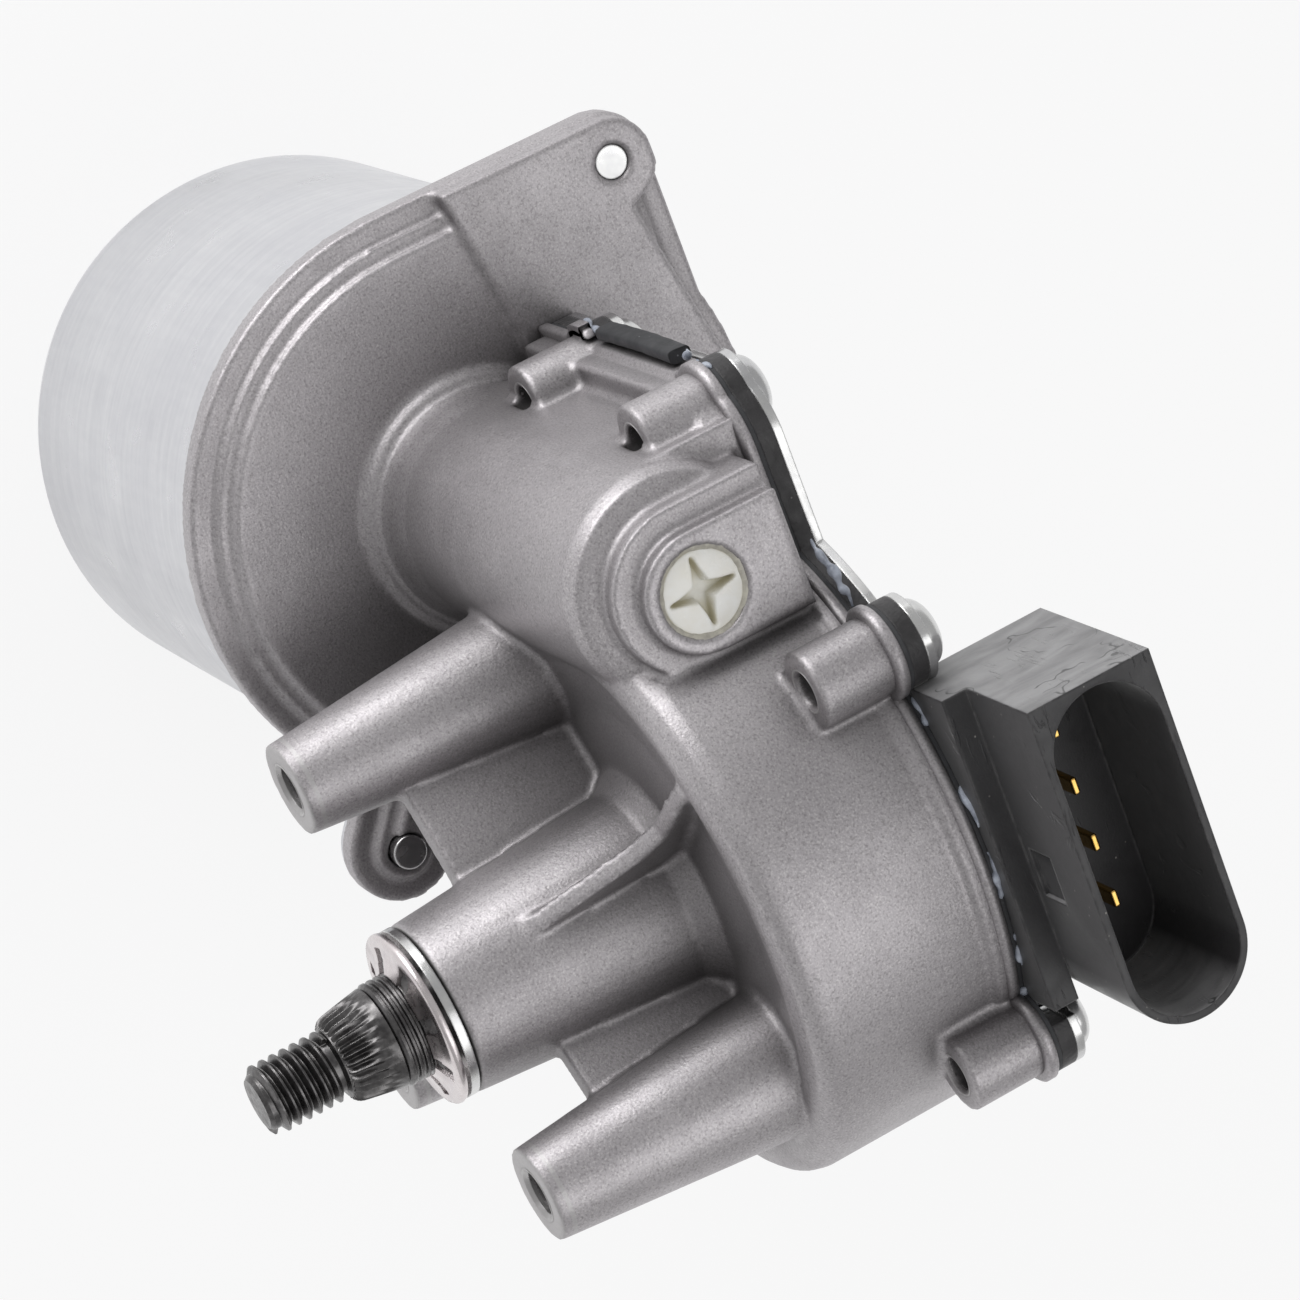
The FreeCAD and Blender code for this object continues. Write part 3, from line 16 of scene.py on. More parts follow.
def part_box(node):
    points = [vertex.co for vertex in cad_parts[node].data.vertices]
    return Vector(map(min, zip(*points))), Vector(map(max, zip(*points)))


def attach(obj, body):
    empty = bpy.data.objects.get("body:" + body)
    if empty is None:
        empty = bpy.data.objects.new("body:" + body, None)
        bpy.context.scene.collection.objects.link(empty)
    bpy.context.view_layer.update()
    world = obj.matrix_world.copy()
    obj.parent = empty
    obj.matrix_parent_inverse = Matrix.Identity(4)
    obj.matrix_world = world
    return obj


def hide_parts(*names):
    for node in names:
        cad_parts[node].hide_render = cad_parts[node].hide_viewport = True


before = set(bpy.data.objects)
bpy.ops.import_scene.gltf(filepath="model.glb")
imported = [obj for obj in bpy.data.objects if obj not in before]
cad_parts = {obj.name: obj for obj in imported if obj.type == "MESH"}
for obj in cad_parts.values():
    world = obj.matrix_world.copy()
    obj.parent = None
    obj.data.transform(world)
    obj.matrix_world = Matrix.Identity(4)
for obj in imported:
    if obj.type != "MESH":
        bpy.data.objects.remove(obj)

log = logging.getLogger("wiper_motor")

BMesh = bmesh.types.BMesh
Vert = bmesh.types.BMVert
Mesh = bpy.types.Mesh
Socket = bpy.types.NodeSocket
Triple = tuple[float, float, float]
Profile = Sequence[tuple[float, float]]
Relief = Callable[[float, float], float]

MM = 0.001
WELD = 2e-6
MIX_A, MIX_B, MIX_RESULT = 6, 7, 2
WHITE = (1.0, 1.0, 1.0)
MOTOR_X, MOTOR_Y = -36.0, 49.5
POSTS = ((-23.6, -15.8), (17.2, 15.9), (12.9, -21.0))
POST_SEAT = 10.8
VIEW_RIGHT = Vector((0.3405, 0.8469, 0.4084))
VIEW_UP = Vector((-0.8770, 0.4427, -0.1868))
VIEW_BACK = Vector((-0.3390, -0.2946, 0.8935))


class Body(str, Enum):
    """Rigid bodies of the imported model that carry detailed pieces."""

    GEARBOX = "gearbox"
    OUTPUT = "output"


class Heading(Enum):
    """Turn about X, in degrees, that lays a piece made along Z on its axis."""

    UP = 0.0
    ALONG_Y = -90.0


class Graph:
    """Node tree, with short calls for the nodes that the finishes share."""

    def __init__(self, tree: bpy.types.NodeTree) -> None:
        """Work on a node tree."""
        self.tree = tree

    @cached_property
    def place(self) -> Socket:
        """Object coordinates."""
        return self.add("TexCoord").outputs["Object"]

    def add(self, kind: str, inputs: Optional[dict[Union[str, int], object]] = None,
            **settings: object) -> bpy.types.Node:
        """Add a node.

        Args:
            kind: Type of the node, without the words ShaderNode.
            inputs: What feeds its inputs, by their name or number.
            **settings: Attributes of the node.

        Returns:
            The node.
        """
        node = self.tree.nodes.new("ShaderNode" + kind)
        for key, setting in settings.items():
            setattr(node, key, setting)
        for key, value in (inputs or {}).items():
            self.feed(node.inputs[key], value)
        return node

    def feed(self, socket: Socket, value: object) -> None:
        """Give a socket a link, a colour or a plain value."""
        if isinstance(value, Socket):
            self.tree.links.new(value, socket)
        else:
            socket.default_value = (*value, 1.0) if socket.type == "RGBA" else value

    def noise(self, size: float, detail: float = 4.0, place: Optional[Socket] = None,
              distortion: float = 0.0) -> Socket:
        """Cloudy noise.

        Args:
            size: Size of the clouds in millimetres.
            detail: Octaves.
            place: Coordinates, those of the object where left out.
            distortion: How far the clouds are drawn out.

        Returns:
            Factor socket.
        """
        inputs = {"Scale": 1.0 / (size * MM), "Detail": detail, "Distortion": distortion,
                  "Vector": place or self.place}
        return self.add("TexNoise", inputs).outputs["Fac"]

    def stretched(self, scale: Triple, centre: Triple = (0.0, 0.0, 0.0)) -> Socket:
        """Object coordinates, moved and stretched.

        Args:
            scale: Factor along each axis.
            centre: Point in millimetres that becomes the origin.

        Returns:
            Vector socket.
        """
        location = [-c * MM * s for c, s in zip(centre, scale)]
        inputs = {"Vector": self.place, "Scale": scale, "Location": location}
        return self.add("Mapping", inputs).outputs["Vector"]

    def ranged(self, value: Socket, start: float, end: float, low: float = 0.0,
               high: float = 1.0) -> Socket:
        """Map a range of values to another, clamped.

        Args:
            value: Incoming socket.
            start: Value that gives low.
            end: Value that gives high.
            low: Result at start.
            high: Result at end.

        Returns:
            Result socket.
        """
        inputs = {"Value": value, "From Min": start, "From Max": end, "To Min": low, "To Max": high}
        return self.add("MapRange", inputs).outputs["Result"]

    def maths(self, operation: str, *numbers: object) -> Socket:
        """Combine sockets or numbers."""
        return self.add("Math", dict(enumerate(numbers)), operation=operation).outputs[0]

    def times(self, a: Socket, b: object) -> Socket:
        """Multiply two numbers."""
        return self.maths("MULTIPLY", a, b)

    def gap(self, a: Socket, b: float) -> Socket:
        """Distance between two numbers."""
        return self.maths("ABSOLUTE", self.maths("SUBTRACT", a, b))

    def blend(self, factor: Socket, a: object, b: object) -> Socket:
        """Blend two colours by the share of the second."""
        inputs = {"Factor": factor, MIX_A: a, MIX_B: b}
        return self.add("Mix", inputs, data_type="RGBA").outputs[MIX_RESULT]

    def bump(self, height: Socket, depth: float, normal: Socket) -> Socket:
        """Turn heights from 0 to 1 into a bumped normal, with the depth in millimetres."""
        inputs = {"Height": height, "Distance": depth * MM, "Normal": normal}
        return self.add("Bump", inputs).outputs["Normal"]

    def hollow(self, reach: float, *limits: float) -> Socket:
        """How deep a point lies among walls that stand within reach, in millimetres."""
        node = self.add("AmbientOcclusion", {"Distance": reach * MM}, samples=8)
        return self.ranged(node.outputs["AO"], *limits)


def empty_material(name: str) -> tuple[bpy.types.Material, Graph]:
    """Start a material.

    Args:
        name: Name of the material.

    Returns:
        The material and its empty node tree.
    """
    material = bpy.data.materials.new(name)
    material.use_nodes = True
    material.node_tree.nodes.clear()
    return material, Graph(material.node_tree)


@dataclass(frozen=True)
class Finish:
    """Surface of one material.

    Sizes are in millimetres and colours are linear.
    """

    name: str
    slot: str
    colour: Triple
    shade: Triple
    roughness: tuple[float, float]
    metallic: float = 0.0
    patch: float = 9.0
    grain: float = 0.3
    grain_depth: float = 0.012
    edge: float = 0.25
    # Edge colour: partly real wear, partly a painted highlight along the edges.
    edge_wear_and_highlight: Optional[Triple] = None
    dust: Optional[Triple] = None
    line_pitch: float = 0.0
    line_depth: float = 0.004
    centre: Triple = (0.0, 0.0, 0.0)
    sheen: float = 0.0
    # Painted shade: colour that recesses darken towards, and the reach of the walls around them.
    deep: Optional[Triple] = None
    painted_shade_reach: float = 2.0
    scratches: float = 0.0

    @cache
    def material(self) -> bpy.types.Material:
        """Build the material once.

        Returns:
            The material.
        """
        material, graph = empty_material(self.name + "_finish")
        clouds = graph.times(graph.noise(self.patch, 5.0), 0.7)
        speckle = graph.times(graph.noise(self.grain * 2.2, 3.0), 0.3)
        share = graph.ranged(graph.maths("ADD", clouds, speckle), 0.36, 0.64)
        colour = graph.blend(share, self.colour, self.shade)
        normal = graph.add("Bevel", {"Radius": self.edge * MM}, samples=4).outputs["Normal"]
        # Brightened edges: partly wear, partly a painted highlight.
        if self.edge_wear_and_highlight is not None:
            colour = self.wear_and_highlight_edges(graph, colour, normal)
        if self.dust is not None:
            colour = self.dusting(graph, colour)
        # Painted shade: the colour darkens towards deep where a point lies deep in a recess.
        if self.deep is not None:
            hollow = graph.hollow(self.painted_shade_reach, 0.35, 0.85, 0.85, 0.0)
            colour = graph.blend(hollow, colour, self.deep)
        normal = graph.bump(graph.noise(self.grain, 2.0), self.grain_depth, normal)
        if self.line_pitch > 0.0:
            along = graph.stretched((0.02, 0.02, 1.0), self.centre)
            normal = graph.bump(graph.noise(self.line_pitch, 3.0, along), self.line_depth, normal)
        if self.scratches > 0.0:
            normal = graph.bump(self.handling_marks(graph), self.scratches, normal)
        colour, normal = self.extra(graph, colour, normal)
        smudges = graph.noise(self.patch * 0.45, 6.0, distortion=0.6)
        shader = graph.add("BsdfPrincipled", {
            "Base Color": colour, "Normal": normal, "Metallic": self.metallic,
            "Roughness": graph.ranged(smudges, 0.3, 0.7, *self.roughness),
            "Sheen Weight": self.sheen, "Sheen Roughness": 0.35,
        })
        graph.add("OutputMaterial", {"Surface": shader.outputs["BSDF"]})
        return material

    def wear_and_highlight_edges(self, graph: Graph, colour: Socket, rounded: Socket) -> Socket:
        """Brighten the edges: partly real wear, partly a painted highlight along them.

        Args:
            graph: Node tree.
            colour: Colour so far.
            rounded: Softened normal.

        Returns:
            Colour socket.
        """
        sharp = graph.add("NewGeometry").outputs["Normal"]
        dot = graph.add("VectorMath", {0: sharp, 1: rounded}, operation="DOT_PRODUCT")
        broken = graph.ranged(graph.noise(1.6), 0.42, 0.6, 0.0, 0.8)
        wear_and_highlight_share = graph.times(graph.ranged(dot.outputs["Value"], 0.97, 0.8), broken)
        return graph.blend(wear_and_highlight_share, colour, self.edge_wear_and_highlight)

    def dusting(self, graph: Graph, colour: Socket) -> Socket:
        """Scatter small pale specks.

        Args:
            graph: Node tree.
            colour: Colour so far.

        Returns:
            Colour socket.
        """
        cells = graph.add("TexVoronoi", {"Scale": 1.0 / (1.3 * MM), "Vector": graph.place})
        speck = graph.ranged(cells.outputs["Distance"], 0.1, 0.06)
        sparse = graph.ranged(graph.noise(5.0, 3.0), 0.5, 0.62, 0.0, 0.75)
        return graph.blend(graph.times(speck, sparse), colour, self.dust)

    def handling_marks(self, graph: Graph) -> Socket:
        """Sparse scratches that run mostly one way.

        Args:
            graph: Node tree.

        Returns:
            Height socket.
        """
        drawn_out = graph.stretched((0.35, 2.2, 0.25), self.centre)
        lines = graph.noise(1.5, 5.0, drawn_out, distortion=1.2)
        sparse = graph.ranged(graph.noise(7.0, 2.0), 0.50, 0.60)
        return graph.times(graph.ranged(lines, 0.60, 0.66), sparse)

    def extra(self, graph: Graph, colour: Socket, normal: Socket) -> tuple[Socket, Socket]:
        """Room for what only one kind of finish has.

        Args:
            graph: Node tree.
            colour: Colour so far.
            normal: Normal so far.

        Returns:
            The changed colour and normal.
        """
        return colour, normal


@dataclass(frozen=True)
class CastFinish(Finish):
    """Die-cast alloy: blasted skin with fine glints painted as highlights into the colour, and machined
    faces that stay bright.
    """

    machined: Triple = (0.52, 0.51, 0.51)
    seat_levels: tuple[float, ...] = (POST_SEAT, 12.2)
    # Colour of the glints, painted highlights.
    glint: Triple = (0.66, 0.64, 0.64)
    pit: Triple = (0.17, 0.158, 0.16)
    grit: float = 0.24
    shadow: Triple = (0.085, 0.08, 0.08)
    shadow_reach: float = 24.0

    def extra(self, graph: Graph, colour: Socket, normal: Socket) -> tuple[Socket, Socket]:
        """Scatter painted glints and pits, brighten the machined seats and paint shadow where it lies
        deep.
        """
        shifted = graph.stretched((1.0, 1.0, 1.0), (31.0, 17.0, 53.0))
        # Glints are painted highlights; pits are dark grain.
        glints = graph.ranged(graph.noise(self.grit, 2.0), 0.50, 0.68, 0.0, 0.55)
        pits = graph.ranged(graph.noise(self.grit * 1.15, 2.0, shifted), 0.50, 0.70, 0.0, 0.45)
        colour = graph.blend(pits, graph.blend(glints, colour, self.glint), self.pit)
        height = graph.add("SeparateXYZ", {0: graph.place}).outputs["Y"]
        for level in self.seat_levels:
            seat = graph.ranged(graph.gap(height, level * MM), 0.3 * MM, 0.2 * MM, 0.0, 0.7)
            colour = graph.blend(seat, colour, self.machined)
        hollow = graph.hollow(self.shadow_reach, 0.2, 0.95, 0.9, 0.0)
        colour = graph.blend(hollow, colour, self.shadow)
        return colour, graph.bump(graph.noise(0.9, 2.0), 0.02, normal)


@dataclass(frozen=True)
class BrushedFinish(Finish):
    """Drawn sheet with faint streaks round and along the can and a clouded sheen."""

    streak: Triple = (0.52, 0.525, 0.56)

    def extra(self, graph: Graph, colour: Socket, normal: Socket) -> tuple[Socket, Socket]:
        """Lay crossing streaks over the colour."""
        around = graph.noise(1.1, 5.0, graph.stretched((0.04, 0.04, 1.0), self.centre))
        along = graph.noise(1.4, 5.0, graph.stretched((1.0, 1.0, 0.05), self.centre))
        both = graph.maths("ADD", graph.times(around, 0.75), graph.times(along, 0.25))
        return graph.blend(graph.ranged(both, 0.36, 0.64, 0.05, 0.42), colour, self.streak), normal


@dataclass(frozen=True)
class ScuffedAndLitFinish(Finish):
    """Black moulding whose side toward -X is greyed, partly as scuffing and partly as a painted
    reflection, and finely cracked.
    """

    # Grey of the -X side: partly scuffing, partly a painted reflection.
    scuffed_and_lit_grey: Triple = (0.30, 0.297, 0.302)
    crack: Triple = (0.015, 0.015, 0.016)

    def extra(self, graph: Graph, colour: Socket, normal: Socket) -> tuple[Socket, Socket]:
        """Grey the faces that look toward -X, partly scuffing and partly a painted reflection, and draw
        fine cracks there.
        """
        sharp = graph.add("NewGeometry").outputs["Normal"]
        facing = graph.ranged(graph.add("SeparateXYZ", {0: sharp}).outputs["X"], -0.6, -0.95)
        drawn_out = graph.stretched((1.0, 0.4, 1.4), self.centre)
        streaks = graph.noise(4.0, 6.0, drawn_out, distortion=0.8)
        share = graph.times(facing, graph.ranged(streaks, 0.35, 0.65, 0.55, 1.0))
        colour = graph.blend(share, colour, self.scuffed_and_lit_grey)
        vein = graph.ranged(graph.gap(graph.noise(9.0, 3.0), 0.5), 0.008, 0.003)
        sparse = graph.ranged(graph.noise(5.0, 2.0), 0.50, 0.56, 0.0, 0.8)
        return graph.blend(graph.times(graph.times(vein, sparse), facing), colour, self.crack), normal


@dataclass(frozen=True)
class WireFinish(Finish):
    """Coils of enamelled wire laid side by side."""

    wire: float = 0.8
    gap: Triple = (0.06, 0.02, 0.01)

    def extra(self, graph: Graph, colour: Socket, normal: Socket) -> tuple[Socket, Socket]:
        """Lay bands of wire over the coil heads."""
        inputs = {"Vector": graph.stretched((1.0, 1.0, 1.0), self.centre), "Distortion": 3.5,
                  "Detail": 2.0, "Scale": 0.31 / (self.wire * MM)}
        wave = graph.add("TexWave", inputs, wave_type="BANDS", bands_direction="DIAGONAL")
        share = graph.ranged(wave.outputs["Fac"], 0.0, 0.3, 0.8, 0.0)
        return graph.blend(share, colour, self.gap), graph.bump(wave.outputs["Fac"], 0.25, normal)


CAST = CastFinish(
    "cast_alloy", "cast_alloy", (0.498, 0.474, 0.490), (0.424, 0.402, 0.417), (0.40, 0.50),
    # The brightened edges of the casting are painted highlights along its edges.
    metallic=0.70, patch=14.0, grain=0.34, grain_depth=0.03, edge=0.3, edge_wear_and_highlight=(0.60, 0.585, 0.585),
)
CAN_STEEL = BrushedFinish(
    "can_steel", "can_steel", (0.74, 0.742, 0.76), (0.66, 0.662, 0.69), (0.26, 0.40), metallic=0.8,
    patch=16.0, grain=0.5, grain_depth=0.004, edge=0.4, line_pitch=0.35,
    centre=(MOTOR_X, MOTOR_Y, -70.0),
)
ZINC = Finish(
    "bright_zinc", "zinc_steel", (0.72, 0.72, 0.71), (0.60, 0.60, 0.61), (0.16, 0.34), metallic=1.0,
    patch=6.0, grain=0.4, grain_depth=0.004,
)
SHAFT = Finish(
    "oiled_shaft", "shaft_steel", (0.17, 0.165, 0.165), (0.075, 0.072, 0.073), (0.20, 0.40),
    # The brightened crests of the shaft are painted highlights.
    metallic=0.95, patch=2.2, grain=0.25, grain_depth=0.008, edge=0.10, edge_wear_and_highlight=(0.62, 0.61, 0.60),
)
GROUND_STEEL = Finish(
    "ground_steel", "shaft_steel", (0.50, 0.50, 0.50), (0.40, 0.40, 0.41), (0.18, 0.32),
    metallic=1.0, patch=5.0, grain_depth=0.003, edge=0.15, line_pitch=0.15,
)
SPRING = Finish(
    "spring_steel", "spring_steel", (0.76, 0.71, 0.71), (0.62, 0.57, 0.58), (0.20, 0.34),
    metallic=1.0, patch=3.0, grain_depth=0.004, edge=0.12,
)
# Its -X side carries a painted reflection as well as scuffs.
SOCKET_BLACK = ScuffedAndLitFinish(
    "socket_plastic", "black_plastic", (0.026, 0.025, 0.027), (0.036, 0.035, 0.037), (0.30, 0.48),
    patch=8.0, grain=0.22, edge=0.45, edge_wear_and_highlight=(0.20, 0.195, 0.195), dust=(0.45, 0.43, 0.40),
    sheen=0.35, scratches=0.05,
)
GRAINED_BLACK = Finish(
    "grained_plastic", "black_plastic", (0.040, 0.038, 0.040), (0.020, 0.019, 0.020), (0.40, 0.60),
    patch=5.0, grain=0.5, grain_depth=0.07, edge=0.35, edge_wear_and_highlight=(0.13, 0.125, 0.125),
    dust=(0.45, 0.43, 0.40), sheen=0.25,
)
IVORY = Finish(
    "ivory_plastic", "ivory_plastic", (0.94, 0.94, 0.91), (0.88, 0.86, 0.79), (0.18, 0.30),
    # Painted shade, tinted yellow, in the cross recess and round the lobes.
    patch=2.5, grain=0.8, grain_depth=0.02, edge=0.3, deep=(0.50, 0.46, 0.31), painted_shade_reach=1.6,
)
WHEEL_PLASTIC = Finish(
    "wheel_plastic", "wheel_plastic", (0.66, 0.63, 0.52), (0.58, 0.54, 0.43), (0.30, 0.45),
    patch=10.0, grain=0.5, grain_depth=0.006, edge=0.15,
)
PHENOLIC = Finish(
    "phenolic", "brush_plastic", (0.16, 0.075, 0.028), (0.12, 0.055, 0.02), (0.35, 0.55), patch=6.0,
    edge=0.3,
)
INSULATION = Finish(
    "insulation", "insulation", (0.028, 0.014, 0.008), (0.04, 0.02, 0.012), (0.35, 0.5), edge=0.2,
)
BRASS = Finish(
    "contact_brass", "contact_brass", (0.60, 0.41, 0.14), (0.50, 0.33, 0.10), (0.18, 0.32),
    metallic=1.0, patch=3.0, grain_depth=0.004, edge=0.12,
)
GOLD = Finish(
    "gold_pins", "contact_brass", (0.80, 0.52, 0.16), (0.72, 0.44, 0.12), (0.14, 0.25),
    metallic=1.0, patch=2.0, grain_depth=0.002, edge=0.15,
)
WINDINGS = WireFinish(
    "windings", "winding_copper", (0.36, 0.10, 0.035), (0.28, 0.07, 0.022), (0.22, 0.36),
    metallic=0.6, patch=4.0, grain=0.4, edge=0.3, centre=(MOTOR_X, MOTOR_Y, -74.0),
)
COPPER = Finish(
    "turned_copper", "commutator_copper", (0.62, 0.29, 0.16), (0.50, 0.21, 0.11), (0.22, 0.38),
    metallic=1.0, patch=4.0, grain_depth=0.003, edge=0.12, line_pitch=0.2,
)
BRONZE = Finish(
    "sintered_bronze", "bush_bronze", (0.40, 0.25, 0.11), (0.31, 0.19, 0.08), (0.35, 0.5),
    metallic=0.9, patch=4.0, grain=0.25, grain_depth=0.02, edge=0.2,
)
LAMINATED = Finish(
    "laminated_steel", "core_steel", (0.22, 0.22, 0.23), (0.15, 0.15, 0.16), (0.3, 0.5),
    metallic=0.9, patch=5.0, edge=0.15, line_pitch=0.5, line_depth=0.05,
)
FERRITE = Finish(
    "ferrite", "ferrite", (0.045, 0.045, 0.048), (0.06, 0.06, 0.062), (0.45, 0.62), metallic=0.2,
    patch=7.0, grain_depth=0.015, edge=0.4,
)
RUBBER = Finish(
    "black_rubber", "black_rubber", (0.032, 0.033, 0.036), (0.05, 0.051, 0.055), (0.55, 0.75),
    patch=4.0, grain=0.4, grain_depth=0.02, edge=0.3, dust=(0.28, 0.29, 0.31),
)
CARBON = Finish(
    "brush_carbon", "carbon", (0.04, 0.04, 0.042), (0.055, 0.055, 0.058), (0.4, 0.6), metallic=0.3,
    patch=2.0, grain=0.2, grain_depth=0.01, edge=0.15,
)
SEALANT = Finish(
    "sealant", "black_rubber", (0.50, 0.54, 0.62), (0.20, 0.22, 0.27), (0.14, 0.3), patch=1.2,
    grain=0.6, grain_depth=0.03, edge=0.2,
)
MACHINED = Finish(
    "machined_alloy", "cast_alloy", (0.50, 0.49, 0.49), (0.40, 0.39, 0.39), (0.26, 0.42),
    metallic=0.7, patch=3.0, grain=0.25, grain_depth=0.01, edge=0.1,
)
GLUE = Finish(
    "thread_glue", "ivory_plastic", (0.55, 0.53, 0.45), (0.36, 0.34, 0.30), (0.16, 0.32), patch=1.0,
    grain=0.5, grain_depth=0.03, edge=0.2,
)

NODE_FINISHES: tuple[tuple[Finish, tuple[str, ...]], ...] = (
    (BRONZE, ("front_bush", "rear_bush", "neck_bush", "tip_bush", "rear_motor_bush")),
    (RUBBER, ("shaft_seal", "cover_gasket")),
    (WHEEL_PLASTIC, ("worm_wheel",)),
    (ZINC, ("wheel_hub", "inner_washer", "outer_washer", "thermal_switch")),
    (BRASS, ("park_disc", "contact_fingers")),
    (IVORY, ("thrust_pad",)),
    (SPRING, ("bush_clip", "magnet_springs", "brush_springs")),
    (FERRITE, ("magnet_left", "magnet_right")),
    (GROUND_STEEL, ("armature_shaft",)),
    (LAMINATED, ("armature_core",)),
    (WINDINGS, ("armature_windings", "chokes")),
    (COPPER, ("commutator",)),
    (INSULATION, ("commutator_hub",)),
    (PHENOLIC, ("brush_holder",)),
    (CARBON, ("brushes",)),
)


def linked(name: str, data: bpy.types.ID) -> bpy.types.Object:
    """Put an object in the scene.

    Args:
        name: Name of the object.
        data: Its mesh, lamp or camera.

    Returns:
        The object, at the origin.
    """
    thing = bpy.data.objects.new(name, data)
    bpy.context.scene.collection.objects.link(thing)
    return thing


def to_mesh(bm: BMesh, name: str, crease: float = 35.0) -> Mesh:
    """Write a bmesh to a mesh with smooth faces and sharp creases.

    Args:
        bm: The bmesh, freed here.
        name: Name of the mesh.
        crease: Angle in degrees past which an edge stays sharp.

    Returns:
        The mesh.
    """
    mesh = bpy.data.meshes.new(name)
    bm.to_mesh(mesh)
    bm.free()
    mesh.shade_smooth()
    mesh.set_sharp_from_angle(angle=math.radians(crease))
    return mesh


def new_piece(name: str, form: Union[BMesh, Mesh], body: Body, finish: Finish,
              stands_for: Optional[str] = None, crease: float = 35.0) -> None:
    """Put a finished piece in the scene.

    Args:
        name: Name of the piece.
        form: Its form, placed in the frame.
        body: Body that it moves with.
        finish: Its finish.
        stands_for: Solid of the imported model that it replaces.
        crease: Angle in degrees past which an edge of a bmesh stays sharp.
    """
    mesh = form if isinstance(form, Mesh) else to_mesh(form, name, crease)
    piece = linked(name, mesh)
    mesh.materials.clear()
    mesh.materials.append(finish.material())
    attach(piece, body.value)
    if stands_for is not None:
        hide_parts(stands_for)
    log.info("%s rides on %s with %d faces", name, body.value, len(mesh.polygons))


def modified(mesh: Mesh, *steps: tuple[str, dict[str, object]]) -> Mesh:
    """Run a mesh through modifiers.

    Args:
        mesh: Mesh to start from.
        *steps: Kind and settings of each modifier.

    Returns:
        A new mesh.
    """
    draft = linked("draft", mesh)
    for kind, settings in steps:
        modifier = draft.modifiers.new(kind.lower(), kind)
        for key, setting in settings.items():
            setattr(modifier, key, setting)
    bpy.context.view_layer.update()
    graph = bpy.context.evaluated_depsgraph_get()
    result = bpy.data.meshes.new_from_object(draft.evaluated_get(graph))
    bpy.data.objects.remove(draft)
    return result


def wrapped(mesh: Mesh, voxel: float, passes: int) -> Mesh:
    """Wrap a mesh in one even skin and smooth it.

    Args:
        mesh: Mesh to start from.
        voxel: Size of the skin's faces in millimetres.
        passes: Times that it is smoothed.

    Returns:
        A new mesh.
    """
    skin = {"mode": "VOXEL", "voxel_size": voxel * MM, "use_smooth_shade": True}
    return modified(mesh, ("REMESH", skin), ("SMOOTH", {"factor": 0.5, "iterations": passes}))


def merged(node: str) -> BMesh:
    """Copy the mesh of a solid and merge its doubled points.

    Args:
        node: Name of the node.

    Returns:
        A new bmesh.
    """
    bm = bmesh.new()
    bm.from_mesh(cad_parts[node].data)
    bmesh.ops.remove_doubles(bm, verts=bm.verts, dist=WELD)
    return bm


def outlined(bm: BMesh, corners: Profile, closed: bool) -> list[Union[Vert, bmesh.types.BMEdge]]:
    """Draw a section over the X axis.

    Args:
        bm: Where it is drawn.
        corners: Pairs of radius and height in millimetres.
        closed: Whether the last point joins the first.

    Returns:
        Its points and edges.
    """
    points = [bm.verts.new((radius * MM, 0.0, height * MM)) for radius, height in corners]
    follow = points[1:] + points[:1] if closed else points[1:]
    return points + [bm.edges.new(pair) for pair in zip(points, follow)]


def lathe(profile: Profile, steps: int = 96, closed: bool = True) -> BMesh:
    """Turn a profile about Z.

    Args:
        profile: Pairs of radius and height in millimetres.
        steps: Facets round the axis.
        closed: Whether the last point joins the first.

    Returns:
        A bmesh with its axis on Z.
    """
    bm = bmesh.new()
    bmesh.ops.spin(bm, geom=outlined(bm, profile, closed), cent=(0, 0, 0), axis=(0, 0, 1),
                   angle=math.tau, steps=steps, use_merge=True)
    bmesh.ops.remove_doubles(bm, verts=bm.verts, dist=WELD / 2)
    bmesh.ops.dissolve_degenerate(bm, edges=bm.edges, dist=WELD / 20)
    bmesh.ops.recalc_face_normals(bm, faces=bm.faces)
    return bm


def wound(corners: Profile, pitch: float, turns: float, steps: int) -> BMesh:
    """Wind a section up a screw line about Z.

    Args:
        corners: Corners of the section, pairs of radius and height in millimetres.
        pitch: Rise of one turn in millimetres.
        turns: Number of turns.
        steps: Facets in one turn.

    Returns:
        A closed bmesh.
    """
    bm = bmesh.new()
    count = round(steps * turns)
    bmesh.ops.spin(bm, geom=outlined(bm, corners, True), cent=(0, 0, 0), axis=(0, 0, 1),
                   angle=math.tau * count / steps, dvec=(0, 0, pitch / steps * MM), steps=count)
    bmesh.ops.holes_fill(bm, edges=[edge for edge in bm.edges if edge.is_boundary], sides=0)
    bmesh.ops.recalc_face_normals(bm, faces=bm.faces)
    return bm


